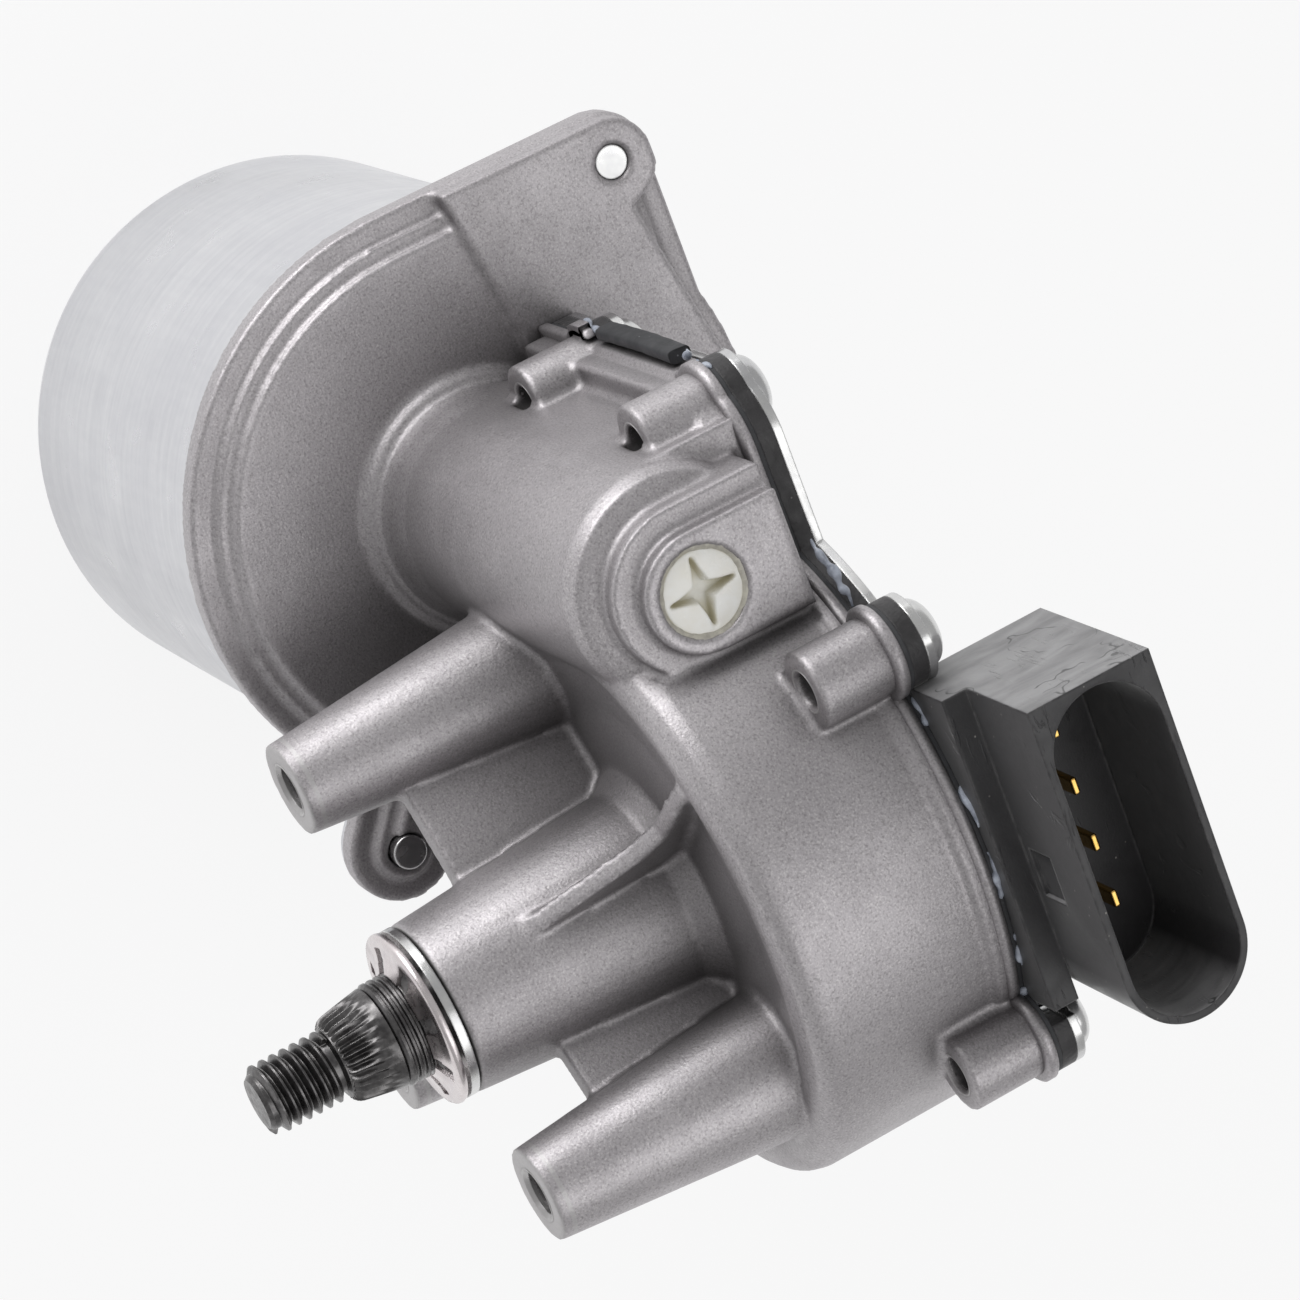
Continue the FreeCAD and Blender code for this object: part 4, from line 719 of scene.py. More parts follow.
def lofted(rows: Sequence[Sequence[Triple]], looped: bool = False,
           tips: Sequence[Triple] = ()) -> BMesh:
    """Lay faces between neighbouring rows of points, each row closed on itself.

    Args:
        rows: Rows of points in millimetres, with as many in each.
        looped: Whether the last row is joined to the first, or else each gets an end face.
        tips: Points to which the end faces of the first and the last row rise.

    Returns:
        A closed bmesh.
    """
    bm = bmesh.new()
    rings = [[bm.verts.new(Vector(spot) * MM) for spot in row] for row in rows]
    for ring, tip in zip((rings[0], rings[-1]), tips):
        middle = bm.verts.new(Vector(tip) * MM)
        for n, point in enumerate(ring):
            bm.faces.new((middle, point, ring[(n + 1) % len(ring)]))
    if looped:
        rings.append(rings[0])
    elif not tips:
        bm.faces.new(rings[0])
        bm.faces.new(rings[-1])
    for lower, upper in zip(rings, rings[1:]):
        for n, point in enumerate(lower):
            after = (n + 1) % len(lower)
            bm.faces.new((point, lower[after], upper[after], upper[n]))
    bmesh.ops.recalc_face_normals(bm, faces=bm.faces)
    return bm


def circle(radius: float, steps: int) -> list[Vector]:
    """Points spread over a circle."""
    turns = [math.tau * n / steps for n in range(steps)]
    return [Vector((radius * math.cos(turn), radius * math.sin(turn))) for turn in turns]


def laid(bm: BMesh, heading: Heading, place: Triple = (0.0, 0.0, 0.0)) -> BMesh:
    """Lay a bmesh on its heading and move it to its place in millimetres.

    Args:
        bm: The bmesh, moved here.
        heading: Axis that its own Z comes to lie on.
        place: Where its origin comes to lie.

    Returns:
        The same bmesh.
    """
    turn = Matrix.Rotation(math.radians(heading.value), 4, "X")
    bmesh.ops.transform(bm, matrix=Matrix.Translation(Vector(place) * MM) @ turn, verts=bm.verts)
    return bm


def joined(parts: Iterable[BMesh]) -> BMesh:
    """Join several bmeshes and free them.

    Args:
        parts: The bmeshes.

    Returns:
        A new bmesh.
    """
    whole = bmesh.new()
    for part in parts:
        mesh = bpy.data.meshes.new("part")
        part.to_mesh(mesh)
        part.free()
        whole.from_mesh(mesh)
        bpy.data.meshes.remove(mesh)
    return whole


def loose_boxes(node: str) -> list[tuple[Vector, Vector]]:
    """Boxes of the separate solids in one node, in millimetres.

    Args:
        node: Name of the node.

    Returns:
        Lowest and highest corner of each solid.
    """
    bm = merged(node)
    waiting = set(bm.verts)
    boxes = []
    while waiting:
        island = {waiting.pop()}
        edge = list(island)
        while edge:
            near = {link.other_vert(vert) for vert in edge for link in vert.link_edges} - island
            island |= near
            edge = list(near)
        waiting -= island
        low, high = (Vector([pick(vert.co[axis] for vert in island) for axis in range(3)]) / MM
                     for pick in (min, max))
        boxes.append((low, high))
    bm.free()
    return boxes


def smooth_step(value: float, start: float, end: float) -> float:
    """Ease from 0 at start to 1 at end."""
    share = min(1.0, max(0.0, (value - start) / (end - start)))
    return share * share * (3.0 - 2.0 * share)


def relief_cap(radius: float, base: float, height_at: Relief, rings: int = 44,
               steps: int = 128) -> BMesh:
    """Round cap whose top follows a height rule.

    Args:
        radius: Radius in millimetres.
        base: Height of the underside.
        height_at: Height of the top over a point, in millimetres.
        rings: Divisions along the radius.
        steps: Divisions round the axis.

    Returns:
        A closed bmesh with its axis on Z.
    """
    rows = [[(x, y, height_at(x, y)) for x, y in circle(radius * n / rings, steps)]
            for n in range(1, rings + 1)]
    rows.append([(x, y, base) for x, y in circle(radius, steps)])
    return lofted(rows, tips=((0.0, 0.0, height_at(0.0, 0.0)), (0.0, 0.0, base)))


@dataclass
class RefinedNode:
    """Copy of a solid with merged faces, smooth curves and rounded edges."""

    node: str
    finish: Finish
    round: float = 0.3
    reshape: Optional[Callable[[Vector], Vector]] = None
    flat: float = 0.6
    crease: float = 38.0

    def build(self) -> None:
        """Put the piece that stands for the solid in the scene."""
        bm = merged(self.node)
        if self.reshape is not None:
            for vert in bm.verts:
                vert.co = self.reshape(vert.co / MM) * MM
        bmesh.ops.dissolve_limit(bm, angle_limit=math.radians(self.flat), verts=bm.verts,
                                 edges=bm.edges)
        bevel = {"width": self.round * MM, "segments": 3, "limit_method": "ANGLE",
                 "angle_limit": math.radians(self.crease), "harden_normals": True}
        mesh = modified(to_mesh(bm, self.node + "_refined"), ("BEVEL", bevel))
        new_piece(self.node + "_body", mesh, Body.GEARBOX, self.finish, self.node)


def thin_socket(place: Vector) -> Vector:
    """Move the socket's inner wall out, so that the moulding gets its thin edge.

    Args:
        place: Point of the connector in millimetres.

    Returns:
        Where it comes to lie.
    """
    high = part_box("connector_housing")[1] / MM
    end_radius, inner_radius, depth = 7.35, 6.45, 18.0
    middle = high.y - end_radius
    aside = max(0.0, abs(place.x) - (high.x - end_radius))
    reach = math.hypot(aside, place.y - middle)
    if not 5.3 < reach < 5.8 or place.z < high.z - depth:
        return place
    wider = inner_radius / reach
    x = math.copysign(abs(place.x) + aside * (wider - 1.0), place.x)
    return Vector((x, middle + (place.y - middle) * wider, place.z))


def slim_pin(place: Vector) -> Vector:
    """Narrow a pin about its own middle, and keep the last one short.

    Args:
        place: Point of a pin in millimetres.

    Returns:
        Where it comes to lie.
    """
    pitch, width_share, shortened = 6.6, 0.7, 7.5
    middle = pitch * round(place.x / pitch)
    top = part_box("connector_pins")[1].z / MM
    if middle > 1.5 * pitch:
        top -= shortened
    return Vector((middle + (place.x - middle) * width_share, place.y, min(place.z, top)))


def fill_corners(mesh: Mesh, passes: int, hollow: float) -> None:
    """Let sharp inner corners flow into fillets, and leave outer edges as they are.

    Args:
        mesh: Evenly divided mesh, changed here.
        passes: Steps of the flow.
        hollow: Depth in millimetres of a point under its neighbours past which it still moves.
    """
    count = len(mesh.vertices)
    places = np.empty(count * 3)
    mesh.vertices.foreach_get("co", places)
    places = places.reshape(-1, 3)
    ends = np.empty(len(mesh.edges) * 2, dtype=int)
    mesh.edges.foreach_get("vertices", ends)
    one, two = ends.reshape(-1, 2).T
    valence = np.bincount(ends, minlength=count).reshape(-1, 1)
    normals = np.empty(count * 3)
    for _ in range(passes):
        mesh.vertex_normals.foreach_get("vector", normals)
        middle = np.empty_like(places)
        for axis in range(3):
            middle[:, axis] = np.bincount(one, weights=places[two, axis], minlength=count)
            middle[:, axis] += np.bincount(two, weights=places[one, axis], minlength=count)
        step = middle / valence - places
        rises = (step * normals.reshape(-1, 3)).sum(axis=1) > hollow * MM
        places[rises] += 0.5 * step[rises]
        mesh.vertices.foreach_set("co", places.ravel())
        mesh.update()


@dataclass
class SoftenedNode:
    """Copy of a solid whose inner corners flow into fillets, as in a casting."""

    node: str
    finish: Finish
    voxel: float = 0.42
    passes: int = 14
    hollow_share: float = 0.11
    most_triangles: int = 185000

    def build(self) -> None:
        """Put the piece that stands for the solid in the scene."""
        skin = wrapped(to_mesh(merged(self.node), self.node + "_draft"), self.voxel, 1)
        fill_corners(skin, self.passes, self.voxel * self.hollow_share)
        share = self.most_triangles / (2 * len(skin.polygons))
        mesh = modified(skin, ("DECIMATE", {"ratio": min(1.0, share)}))
        new_piece(self.node + "_cast", mesh, Body.GEARBOX, self.finish, self.node)


@dataclass
class ThrustScrew:
    """Plastic screw that sets the shaft's play: four soft lobes round a cross, in a bead of glue."""

    depth: float = 2.2
    arm: float = 3.7
    width: float = 1.0
    tip: float = 0.16
    soft: float = 0.22
    crown: float = 0.45

    def top(self, radius: float) -> Relief:
        """Height rule of the head.

        Args:
            radius: Radius of the head in millimetres.

        Returns:
            Height over a point, 0 at the crown.
        """

        def height(x: float, y: float) -> float:
            """Height over one point."""
            narrow, far = sorted((abs(x), abs(y)))
            reach = math.hypot(x, y)
            half = self.tip + self.width * max(0.0, 1.0 - far / self.arm) ** 1.5
            slot = 1.0 - smooth_step(narrow, half - self.soft, half + self.soft)
            end = 1.0 - smooth_step(far, self.arm - 0.5, self.arm + 0.5)
            rim = smooth_step(reach, radius - 0.45, radius)
            dome = self.crown * (reach / radius) ** 2
            return -dome - 0.35 * rim - self.depth * slot * end * (1.0 - 0.13 * far)

        return height

    def glue(self, radius: float) -> BMesh:
        """Uneven ring of glue between the head and its seat.

        Args:
            radius: Radius of the head in millimetres.

        Returns:
            A closed bmesh.
        """
        section = ((-0.7, -1.1), (-0.5, -0.5), (-0.1, -0.2), (0.35, -0.15), (0.75, -0.45),
                   (0.7, -1.1))
        bm = lathe([(radius + out, rise) for out, rise in section], steps=140)
        for vert in bm.verts:
            lift = noise.noise(vert.co / (2.1 * MM)) + 0.5 * noise.noise(vert.co / (0.8 * MM))
            vert.co.z += 0.30 * MM * lift
            aside = noise.noise(vert.co / (3.0 * MM) + Vector((5.0, 0.0, 0.0)))
            vert.co.xy *= 1.0 + 0.035 * aside
        return bm

    def build(self) -> None:
        """Put the screw and its glue in the tube's end."""
        low, high = (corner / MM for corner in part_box("thrust_screw"))
        radius = (high.x - low.x) / 2
        place = ((low.x + high.x) / 2, (low.y + high.y) / 2, high.z)
        head = relief_cap(radius, low.z - high.z, self.top(radius), rings=60, steps=160)
        new_piece("thrust_screw_moulded", laid(head, Heading.UP, place), Body.GEARBOX, IVORY,
                  "thrust_screw", 60.0)
        new_piece("thrust_screw_glue", laid(self.glue(radius), Heading.UP, place), Body.GEARBOX,
                  GLUE, crease=80.0)


@dataclass
class CoverScrews:
    """Pan-head screws with a six-lobed recess, one for each solid of the node."""

    shank: float = 1.85
    flange_share: float = 0.22
    recess: float = 1.3
    recess_depth: float = 1.1

    def head(self, radius: float, rise: float) -> BMesh:
        """Domed head, its underside at 0.

        Args:
            radius: Radius of the head in millimetres.
            rise: Height of the head.

        Returns:
            A closed bmesh.
        """

        def height(x: float, y: float) -> float:
            """Height over one point."""
            reach = math.hypot(x, y)
            lobes = self.recess + 0.22 * math.cos(6 * math.atan2(y, x))
            sunk = 1.0 - smooth_step(reach, lobes - 0.12, lobes + 0.12)
            dome = math.sqrt(max(0.0, 1.0 - (reach / radius) ** 2.6))
            share = self.flange_share + (1.0 - self.flange_share) * dome
            return rise * share - self.recess_depth * sunk

        return relief_cap(radius, 0.0, height)

    def build(self) -> None:
        """Set a screw in the place of each solid."""
        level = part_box("cover_plate")[1].y / MM
        parts = []
        for low, high in loose_boxes("cover_screws"):
            place = ((low.x + high.x) / 2, level, (low.z + high.z) / 2)
            head = self.head((high.x - low.x) / 2, high.y - level)
            end = low.y - level
            shank = lathe([(0.0, end), (self.shank - 0.4, end), (self.shank, end + 0.5),
                           (self.shank, 0.05), (0.0, 0.05)], steps=48, closed=False)
            parts += [laid(head, Heading.ALONG_Y, place), laid(shank, Heading.ALONG_Y, place)]
        new_piece("cover_screws_turned", joined(parts), Body.GEARBOX, ZINC, "cover_screws")


@dataclass
class RetainingClip:
    """Push-on clip: a flat rim and eight dished petals that grip the shaft."""

    petals: int = 8
    per_petal: int = 24
    phase: float = 12.0
    slot: float = 1.9
    thickness: float = 0.5
    rim: Profile = (
        (9.95, 0.0), (10.05, 0.3), (10.0, 0.62), (9.8, 0.84), (9.3, 0.92), (8.75, 0.96),
    )
    petal: Profile = ((8.3, 1.0), (7.7, 1.12), (7.1, 1.3), (6.5, 1.5), (6.05, 1.7))

    def slotted(self, turn: float, reach: float) -> bool:
        """Whether a slot between two petals runs through a place, given as angle and radius."""
        off = (turn - self.phase + 180 / self.petals) % (360 / self.petals) - 180 / self.petals
        return math.radians(abs(off)) * reach < self.slot / 2

    def build(self) -> None:
        """Lay the sheet as rings of faces, leave the slots out and give it its thickness."""
        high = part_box("retaining_clip")[1] / MM
        columns = self.petals * self.per_petal
        section = self.rim + self.petal
        bm = bmesh.new()
        rows = []
        for reach, rise in section:
            level = high.y - rise - self.thickness
            spots = [Vector((x, level, z)) * MM for x, z in circle(reach, columns)]
            rows.append([bm.verts.new(spot) for spot in spots])
        for number, (outer, inner) in enumerate(zip(rows, rows[1:])):
            for n in range(columns):
                turn = math.degrees(math.tau * (n + 0.5) / columns)
                if number >= len(self.rim) - 1 and self.slotted(turn, section[number + 1][0]):
                    continue
                after = (n + 1) % columns
                bm.faces.new((outer[n], inner[n], inner[after], outer[after]))
        lonely = [vert for vert in bm.verts if not vert.link_faces]
        bmesh.ops.delete(bm, geom=lonely, context="VERTS")
        bmesh.ops.recalc_face_normals(bm, faces=bm.faces)
        bmesh.ops.solidify(bm, geom=bm.faces[:], thickness=self.thickness * MM)
        bmesh.ops.recalc_face_normals(bm, faces=bm.faces)
        new_piece("retaining_clip_stamped", bm, Body.OUTPUT, SPRING, "retaining_clip", 40.0)


@dataclass
class PostThreads:
    """Cut thread just inside the mouth of each mounting post."""

    core: float = 2.42
    depth: float = 0.45
    start: float = 1.3
    pitch: float = 1.0
    turns: int = 12

    def build(self) -> None:
        """Wind a ridge down each hole."""
        outer = self.core + self.depth
        section = ((outer, -0.45), (self.core, -0.08), (self.core, 0.08), (outer, 0.45))
        parts = [
            laid(wound(section, self.pitch, self.turns, steps=40), Heading.ALONG_Y,
                 (x, POST_SEAT + self.start, z)) for x, z in POSTS
        ]
        new_piece("post_threads", joined(parts), Body.GEARBOX, GROUND_STEEL, crease=30.0)


@dataclass
class Sealant:
    """Squeezed-out sealant along the joint of casting, contact plate and cover."""

    reach: float = 35.45
    level: float = 63.7
    thickness: float = 0.62
    pitch: float = 0.16
    voxel: float = 0.13
    arcs: Profile = ((61.5, 65.0), (69.0, 75.5), (83.0, 92.0), (97.5, 104.0), (116.0, 121.0))
    runs: tuple[tuple[Triple, Triple], ...] = (
        ((-34.5, 63.4, 19.6), (-27.6, 64.0, 23.0)),
        ((-52.6, 63.3, 9.4), (-53.0, 63.5, 6.2)),
        ((-53.3, 63.3, 3.6), (-53.3, 64.2, 2.2)),
        ((-53.2, 63.2, -19.0), (-53.0, 63.6, -25.5)),
    )

    def lines(self) -> list[list[Vector]]:
        """Returns:
            Closely spaced points in millimetres along each squeezed-out stretch.
        """
        found = []
        for start, end in self.arcs:
            count = max(8, round(math.radians(end - start) * self.reach / self.pitch))
            angles = [math.radians(start + (end - start) * n / count) for n in range(count + 1)]
            found.append([Vector((self.reach * math.cos(a), self.level, self.reach * math.sin(a)))
                          for a in angles])
        for start, end in self.runs:
            count = max(8, round((Vector(end) - Vector(start)).length / self.pitch))
            found.append([Vector(start).lerp(Vector(end), n / count) for n in range(count + 1)])
        return found

    def build(self) -> None:
        """Merge uneven drops into smears that thin out at their ends."""
        bm = bmesh.new()
        for line in self.lines():
            for n, place in enumerate(line):
                share = math.sin(math.pi * (n + 0.5) / len(line)) ** 0.45
                size = self.thickness * share * (0.75 + 0.8 * noise.noise(place * 0.9))
                wander = noise.noise_vector(place * 0.55) * 0.7
                bmesh.ops.create_icosphere(bm, subdivisions=2, radius=max(0.18, size) * MM,
                                           matrix=Matrix.Translation((place + wander) * MM))
        mesh = wrapped(to_mesh(bm, "sealant_draft"), self.voxel, 3)
        new_piece("sealant_beads", mesh, Body.GEARBOX, SEALANT)


@dataclass
class JointBand:
    """Proud band of the casting along its joint face, parallel to the gasket's edge."""

    proud: float = 0.40
    deep: float = 1.2
    height: float = 1.35
    pitch: float = 0.4

    def outline(self) -> list[Vector]:
        """Returns:
            Outer edge of the gasket as X and Z in millimetres, the inside on its left.
        """
        bm = merged("cover_gasket")
        bm.normal_update()
        low = min(vert.co.y for vert in bm.verts)
        rims = {edge for edge in bm.edges
                if all(abs(vert.co.y - low) < 0.01 * MM for vert in edge.verts)
                and sorted(abs(face.normal.y) > 0.9 for face in edge.link_faces) == [False, True]}
        loops = []
        while rims:
            start, here = rims.pop().verts
            loop = [start, here]
            while here is not start:
                follow = next((link for link in here.link_edges if link in rims), None)
                if follow is None:
                    break
                rims.discard(follow)
                here = follow.other_vert(here)
                loop.append(here)
            loops.append([vert.co.xz / MM for vert in loop[:-1]])
        bm.free()
        loop = max(loops, key=lambda line: max(at.x for at in line) - min(at.x for at in line))
        area = sum(a.x * b.y - b.x * a.y for a, b in zip(loop, loop[1:] + loop[:1]))
        return loop if area > 0 else loop[::-1]

    def evened(self) -> list[Vector]:
        """Returns:
            Evenly spread points along the gasket's edge.
        """
        loop = self.outline()
        found = []
        for here, after in zip(loop, loop[1:] + loop[:1]):
            count = max(1, round((after - here).length / self.pitch))
            found += [here.lerp(after, n / count) for n in range(count)]
        return found

    def build(self) -> None:
        """Loft a rounded section along the gasket's edge."""
        points = self.evened()
        low, high = (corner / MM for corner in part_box("cover_gasket"))
        section = (
            (-self.deep, 0.0), (self.proud - 0.2, 0.0), (self.proud, -0.2),
            (self.proud, -self.height + 0.3), (self.proud - 0.35, -self.height),
            (-self.deep, -self.height),
        )
        rows = []
        for n, here in enumerate(points):
            ahead = points[(n + 2) % len(points)] - points[n - 2]
            out = Vector((ahead.y, -ahead.x)).normalized()
            rows.append([(min(here.x + out.x * reach, high.x), low.y + rise, here.y + out.y * reach)
                         for reach, rise in section])
        new_piece("joint_band", lofted(rows, looped=True), Body.GEARBOX, CAST, crease=50.0)


@dataclass
class BoreMouths:
    """Countersunk mouths of the drilled holes in the screw bosses and in the mounting posts."""

    post_bore: float = 2.5
    boss_front: float = 53.5
    boss_bore: float = 1.88
    length: float = 2.6

    def sleeve(self, bore: float, place: Triple) -> BMesh:
        """Short sleeve with a countersunk mouth.

        Args:
            bore: Radius of the hole in millimetres.
            place: Middle of the mouth.

        Returns:
            A closed bmesh.
        """
        section = ((0.0, self.length), (0.0, 0.45), (0.42, 0.0), (0.62, -0.03), (0.72, 0.12),
                   (0.4, 0.5), (0.25, self.length))
        profile = [(bore + out, rise) for out, rise in section]
        return laid(lathe(profile, steps=64), Heading.ALONG_Y, place)

    def build(self) -> None:
        """Line every hole that shows."""
        parts = [self.sleeve(self.post_bore, (x, POST_SEAT, z)) for x, z in POSTS]
        for low, high in loose_boxes("cover_screws"):
            place = ((low.x + high.x) / 2, self.boss_front, (low.z + high.z) / 2)
            parts.append(self.sleeve(self.boss_bore, place))
        new_piece("bore_mouths", joined(parts), Body.GEARBOX, MACHINED)


@dataclass
class DrainFlap:
    """Rubber flap over the drain of the worm chamber: a bent strip with a torn upper end."""

    rows: int = 48
    around: int = 20
    torn: float = 1.1

    def build(self) -> None:
        """Loft a rounded section along the flap and bend it."""
        low, high = (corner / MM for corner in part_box("drain_flap"))
        size, middle = high - low, (low + high) / 2
        rows = []
        for share in (row / self.rows for row in range(self.rows + 1)):
            bend = 0.35 * math.sin(share * math.pi) - 0.25
            row = []
            for wave in circle(1.0, self.around):
                flat, rise = (math.copysign(abs(part) ** 0.55, part) for part in wave)
                tear = noise.noise(Vector((flat * 1.7, rise * 2.3, 4.0)))
                z = low.z + size.z * share - abs(self.torn * smooth_step(share, 0.8, 1.0) * tear)
                x = middle.x + flat * size.x * 0.42 - bend * 0.6
                y = middle.y + rise * size.y * 0.46 + 0.12 * noise.noise(Vector((0.0, 0.0, z * 0.5)))
                row.append((x, y, z))
            rows.append(row)
        new_piece("drain_flap_moulded", lofted(rows), Body.GEARBOX, RUBBER, "drain_flap", 40.0)


@dataclass
class OutputShaft:
    """Output shaft: rolled M8 thread, splined taper, grooved neck and plain journal."""

    stud_radius: float = 4.0
    stud_length: float = 9.2
    thread_pitch: float = 1.25
    thread_depth: float = 0.68
    taper_length: float = 5.6
    taper_small: float = 4.75
    taper_large: float = 5.8
    splines: int = 32
    spline_depth: float = 0.62
    journal: float = 6.0
    neck_grooves: int = 3
    groove_pitch: float = 0.85
    groove_depth: float = 0.35
    end: float = 56.5

    def thread(self) -> BMesh:
        """Returns:
            Screw thread, from the tip of the stud to its root.
        """
        root = self.stud_radius - self.thread_depth
        crest = self.stud_radius - 0.02
        half = self.thread_pitch / 2
        low = -self.stud_length + 0.63
        section = ((root - 0.3, -0.98), (root, -0.86), (crest, -0.16), (crest, 0.16), (root, 0.86),
                   (root - 0.3, 0.98))
        corners = [(radius, low + half * share) for radius, share in section]
        turns = (self.stud_length - 1.0) / self.thread_pitch
        return wound(corners, self.thread_pitch, turns, steps=48)

    def core(self) -> BMesh:
        """Returns:
            Plain parts of the shaft, from the tip's chamfer to the inner end.
        """
        root = self.stud_radius - self.thread_depth - 0.12
        neck = self.taper_length
        profile = [
            (0.0, -self.stud_length), (root - 0.35, -self.stud_length),
            (root, -self.stud_length + 0.45), (root, -0.2), (self.taper_small - 0.75, 0.1),
            (self.taper_small - 0.6, neck * 0.5),
            (self.taper_large - self.spline_depth - 0.1, neck),
            (self.journal - 0.25, neck + 0.5), (self.journal, neck + 0.8),
        ]
        low = self.journal - self.groove_depth
        for groove in range(self.neck_grooves):
            start = neck + 1.1 + groove * self.groove_pitch
            profile += [(self.journal, start), (low, start + 0.18), (low, start + 0.4),
                        (self.journal, start + 0.58)]
        profile += [(self.journal, self.end - 0.8), (self.journal - 0.8, self.end), (0.0, self.end)]
        return lathe(profile, closed=False)

    def spline_ring(self, rows: int = 14, per_spline: int = 8) -> BMesh:
        """Tapered ring whose splines run out towards the journal.

        Args:
            rows: Divisions along the axis.
            per_spline: Divisions of one spline.

        Returns:
            A bmesh closed at both ends.
        """
        rings = []
        for share in (n / rows for n in range(rows + 1)):
            outer = self.taper_small + (self.taper_large - self.taper_small) * share ** 0.85
            outer -= 0.35 * (1.0 - smooth_step(share, 0.0, 0.1))
            cut = self.spline_depth * (1.0 - smooth_step(share, 0.35, 0.92))
            ring = []
            for n, (x, y) in enumerate(circle(1.0, self.splines * per_spline)):
                groove = 0.5 - 0.5 * math.cos(math.tau * n / per_spline)
                radius = outer - cut * groove ** 0.7
                ring.append((radius * x, radius * y, self.taper_length * share + 0.25))
            rings.append(ring)
        return lofted(rings)

    def build(self) -> None:
        """Join the shaft's parts and put them in the scene."""
        whole = laid(joined((self.thread(), self.core(), self.spline_ring())), Heading.ALONG_Y)
        new_piece("output_shaft_turned", whole, Body.OUTPUT, SHAFT, "output_shaft", 30.0)


@dataclass(frozen=True)
class Lamp:
    """Square soft light that faces the object.

    Its direction is given by how far it lies to the photograph's right, its top and its viewer.
    Its distance and size are in metres.
    """

    name: str
    direction: Triple
    distance: float
    size: float
    watts: float
    target: Triple = (-20.0, 30.0, -20.0)

    def build(self) -> None:
        """Hang the lamp, out of the camera's sight."""
        data = bpy.data.lights.new(self.name, "AREA")
        data.energy = self.watts
        data.size = self.size
        lamp = linked(self.name, data)
        right, up, back = self.direction
        toward = VIEW_BACK * back + VIEW_RIGHT * right + VIEW_UP * up
        target = Vector(self.target) * MM
        lamp.location = target + toward.normalized() * self.distance
        lamp.rotation_euler = (lamp.location - target).to_track_quat("Z", "Y").to_euler()
        lamp.visible_camera = False


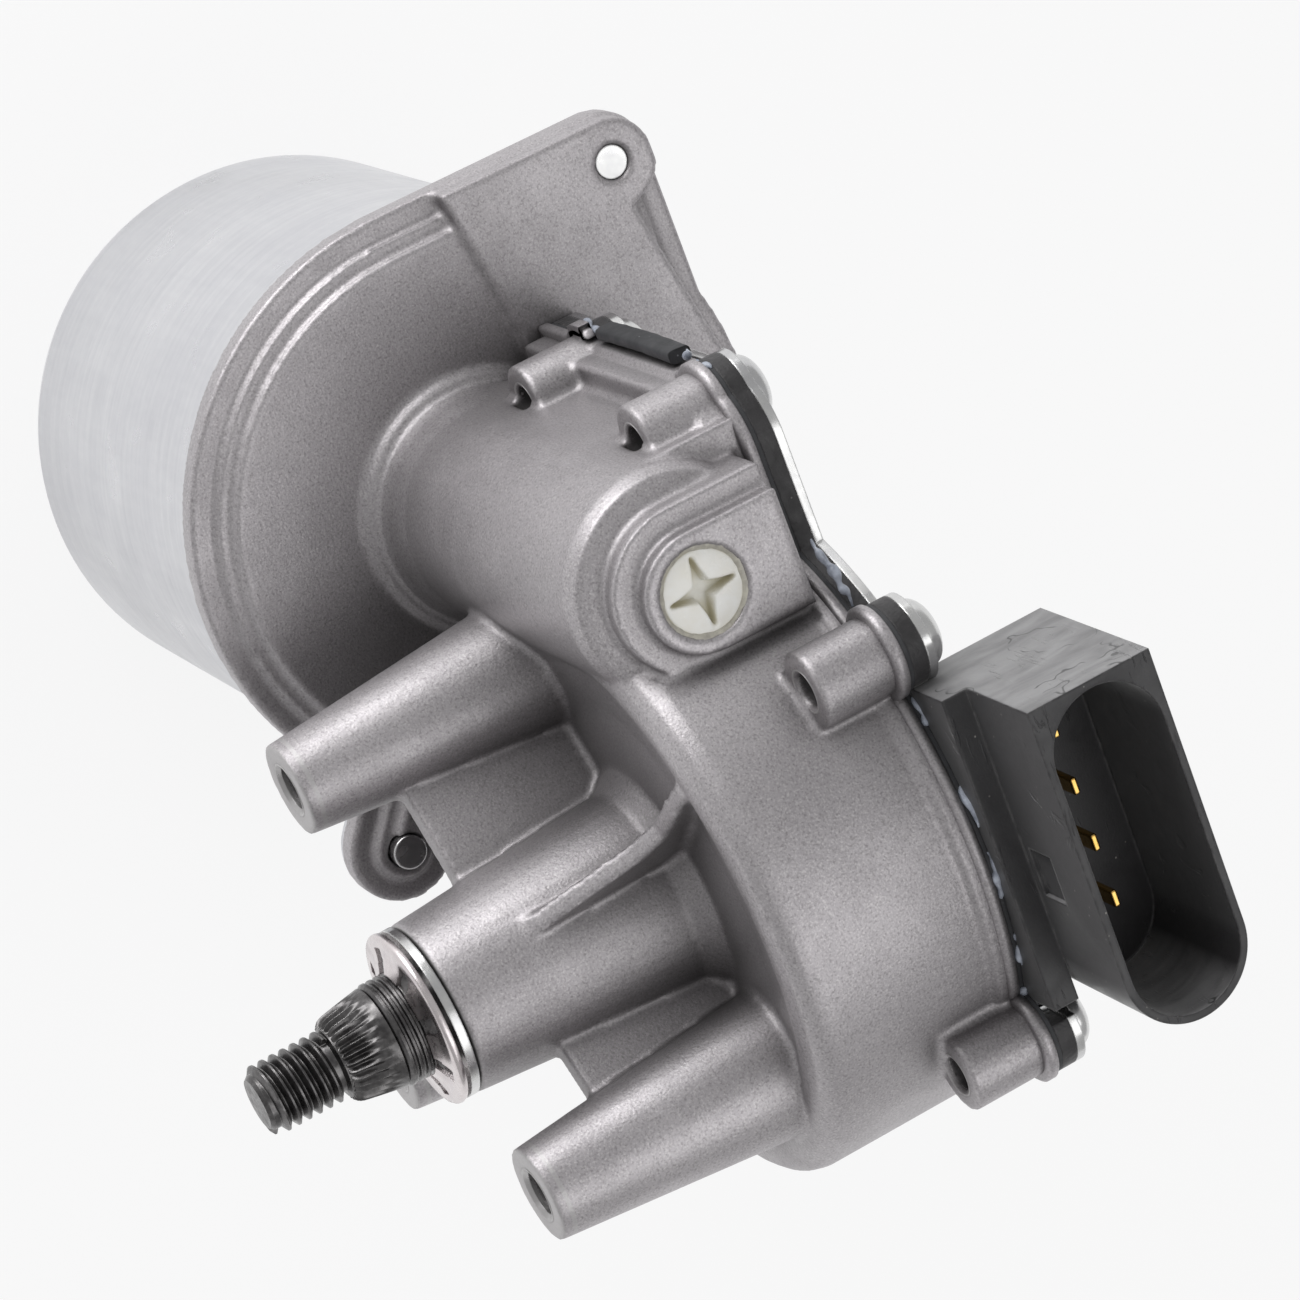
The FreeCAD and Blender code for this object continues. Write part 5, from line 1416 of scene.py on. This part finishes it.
@dataclass
class Studio:
    """Floor, lamps and camera."""

    floor_level: float = -104.2
    floor_reach: float = 14.0
    paper: Triple = (0.86, 0.86, 0.87)
    glow: float = 0.85
    backdrop: float = 0.93
    sky: float = 0.46
    lens: float = 138.46
    eye: Triple = (-204.785, -107.309, 474.624)
    lamps: tuple[Lamp, ...] = (
        Lamp("key_light", (-0.55, 0.75, 0.42), 0.42, 0.32, 1.2),
        Lamp("fill_light", (0.65, -0.4, 0.7), 0.8, 0.6, 1.5),
        Lamp("rim_light", (-0.5, 1.3, 0.2), 0.8, 0.4, 1.2),
    )

    def floor(self) -> None:
        """Pale floor that shows as near white and keeps the shadow."""
        bm = bmesh.new()
        bmesh.ops.create_grid(bm, x_segments=1, y_segments=1, size=self.floor_reach)
        bmesh.ops.translate(bm, verts=bm.verts, vec=(0, 0, self.floor_level * MM))
        piece = linked("studio_floor", to_mesh(bm, "studio_floor"))
        material, graph = empty_material("floor_paper")
        path = graph.add("LightPath").outputs
        seen = graph.maths("ADD", path["Is Camera Ray"], path["Is Glossy Ray"])
        share = graph.add("Math", {0: seen, 1: self.glow}, operation="MULTIPLY", use_clamp=True)
        paper = graph.add("BsdfDiffuse", {"Color": self.paper})
        glow = graph.add("Emission", {"Color": WHITE})
        mix = graph.add("MixShader", {0: share.outputs[0], 1: paper.outputs[0], 2: glow.outputs[0]})
        graph.add("OutputMaterial", {"Surface": mix.outputs[0]})
        piece.data.materials.append(material)

    def camera(self) -> None:
        """Camera at the photograph's viewing angle."""
        data = bpy.data.cameras.new("camera")
        data.sensor_width = 36.0
        data.lens = self.lens
        data.clip_start = 0.01
        camera = linked("camera", data)
        back = VIEW_RIGHT.cross(VIEW_UP).normalized()
        up = back.cross(VIEW_RIGHT).normalized()
        turn = Matrix((VIEW_RIGHT.normalized(), up, back)).transposed().to_4x4()
        camera.matrix_world = Matrix.Translation(Vector(self.eye) * MM) @ turn
        bpy.context.scene.camera = camera

    def world(self) -> None:
        """Even white light from all sides, brighter where the camera looks at it."""
        world = bpy.data.worlds.new("studio_sky")
        bpy.context.scene.world = world
        world.use_nodes = True
        graph = Graph(world.node_tree)
        seen = graph.add("LightPath").outputs["Is Camera Ray"]
        strength = graph.maths("MULTIPLY_ADD", seen, self.backdrop - self.sky, self.sky)
        background = world.node_tree.nodes["Background"]
        graph.feed(background.inputs["Color"], WHITE)
        graph.feed(background.inputs["Strength"], strength)

    def build(self) -> None:
        """Set up the whole studio."""
        self.floor()
        self.world()
        for lamp in self.lamps:
            lamp.build()
        self.camera()
        bpy.context.scene.view_settings.view_transform = "Standard"


def finish_nodes() -> None:
    """Give every carried-over solid its finish."""
    for finish, nodes in NODE_FINISHES:
        for node in nodes:
            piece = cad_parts[node]
            piece.data.materials.clear()
            piece.data.materials.append(finish.material())


def main() -> None:
    logging.basicConfig(level=logging.INFO)
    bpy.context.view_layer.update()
    finish_nodes()
    for piece in (
        SoftenedNode("gear_housing", CAST),
        RefinedNode("connector_housing", SOCKET_BLACK, 0.42, thin_socket),
        RefinedNode("connector_pins", GOLD, 0.3, slim_pin),
        RefinedNode("motor_can", CAN_STEEL, 0.35),
        RefinedNode("cover_plate", ZINC, 0.25),
        RefinedNode("contact_plate", GRAINED_BLACK, 0.25),
        RefinedNode("motor_screws", ZINC, 0.3),
        ThrustScrew(), CoverScrews(), RetainingClip(), PostThreads(), BoreMouths(), JointBand(),
        DrainFlap(), Sealant(), OutputShaft(), Studio(),
    ):
        piece.build()


if __name__ == "__main__":
    main()
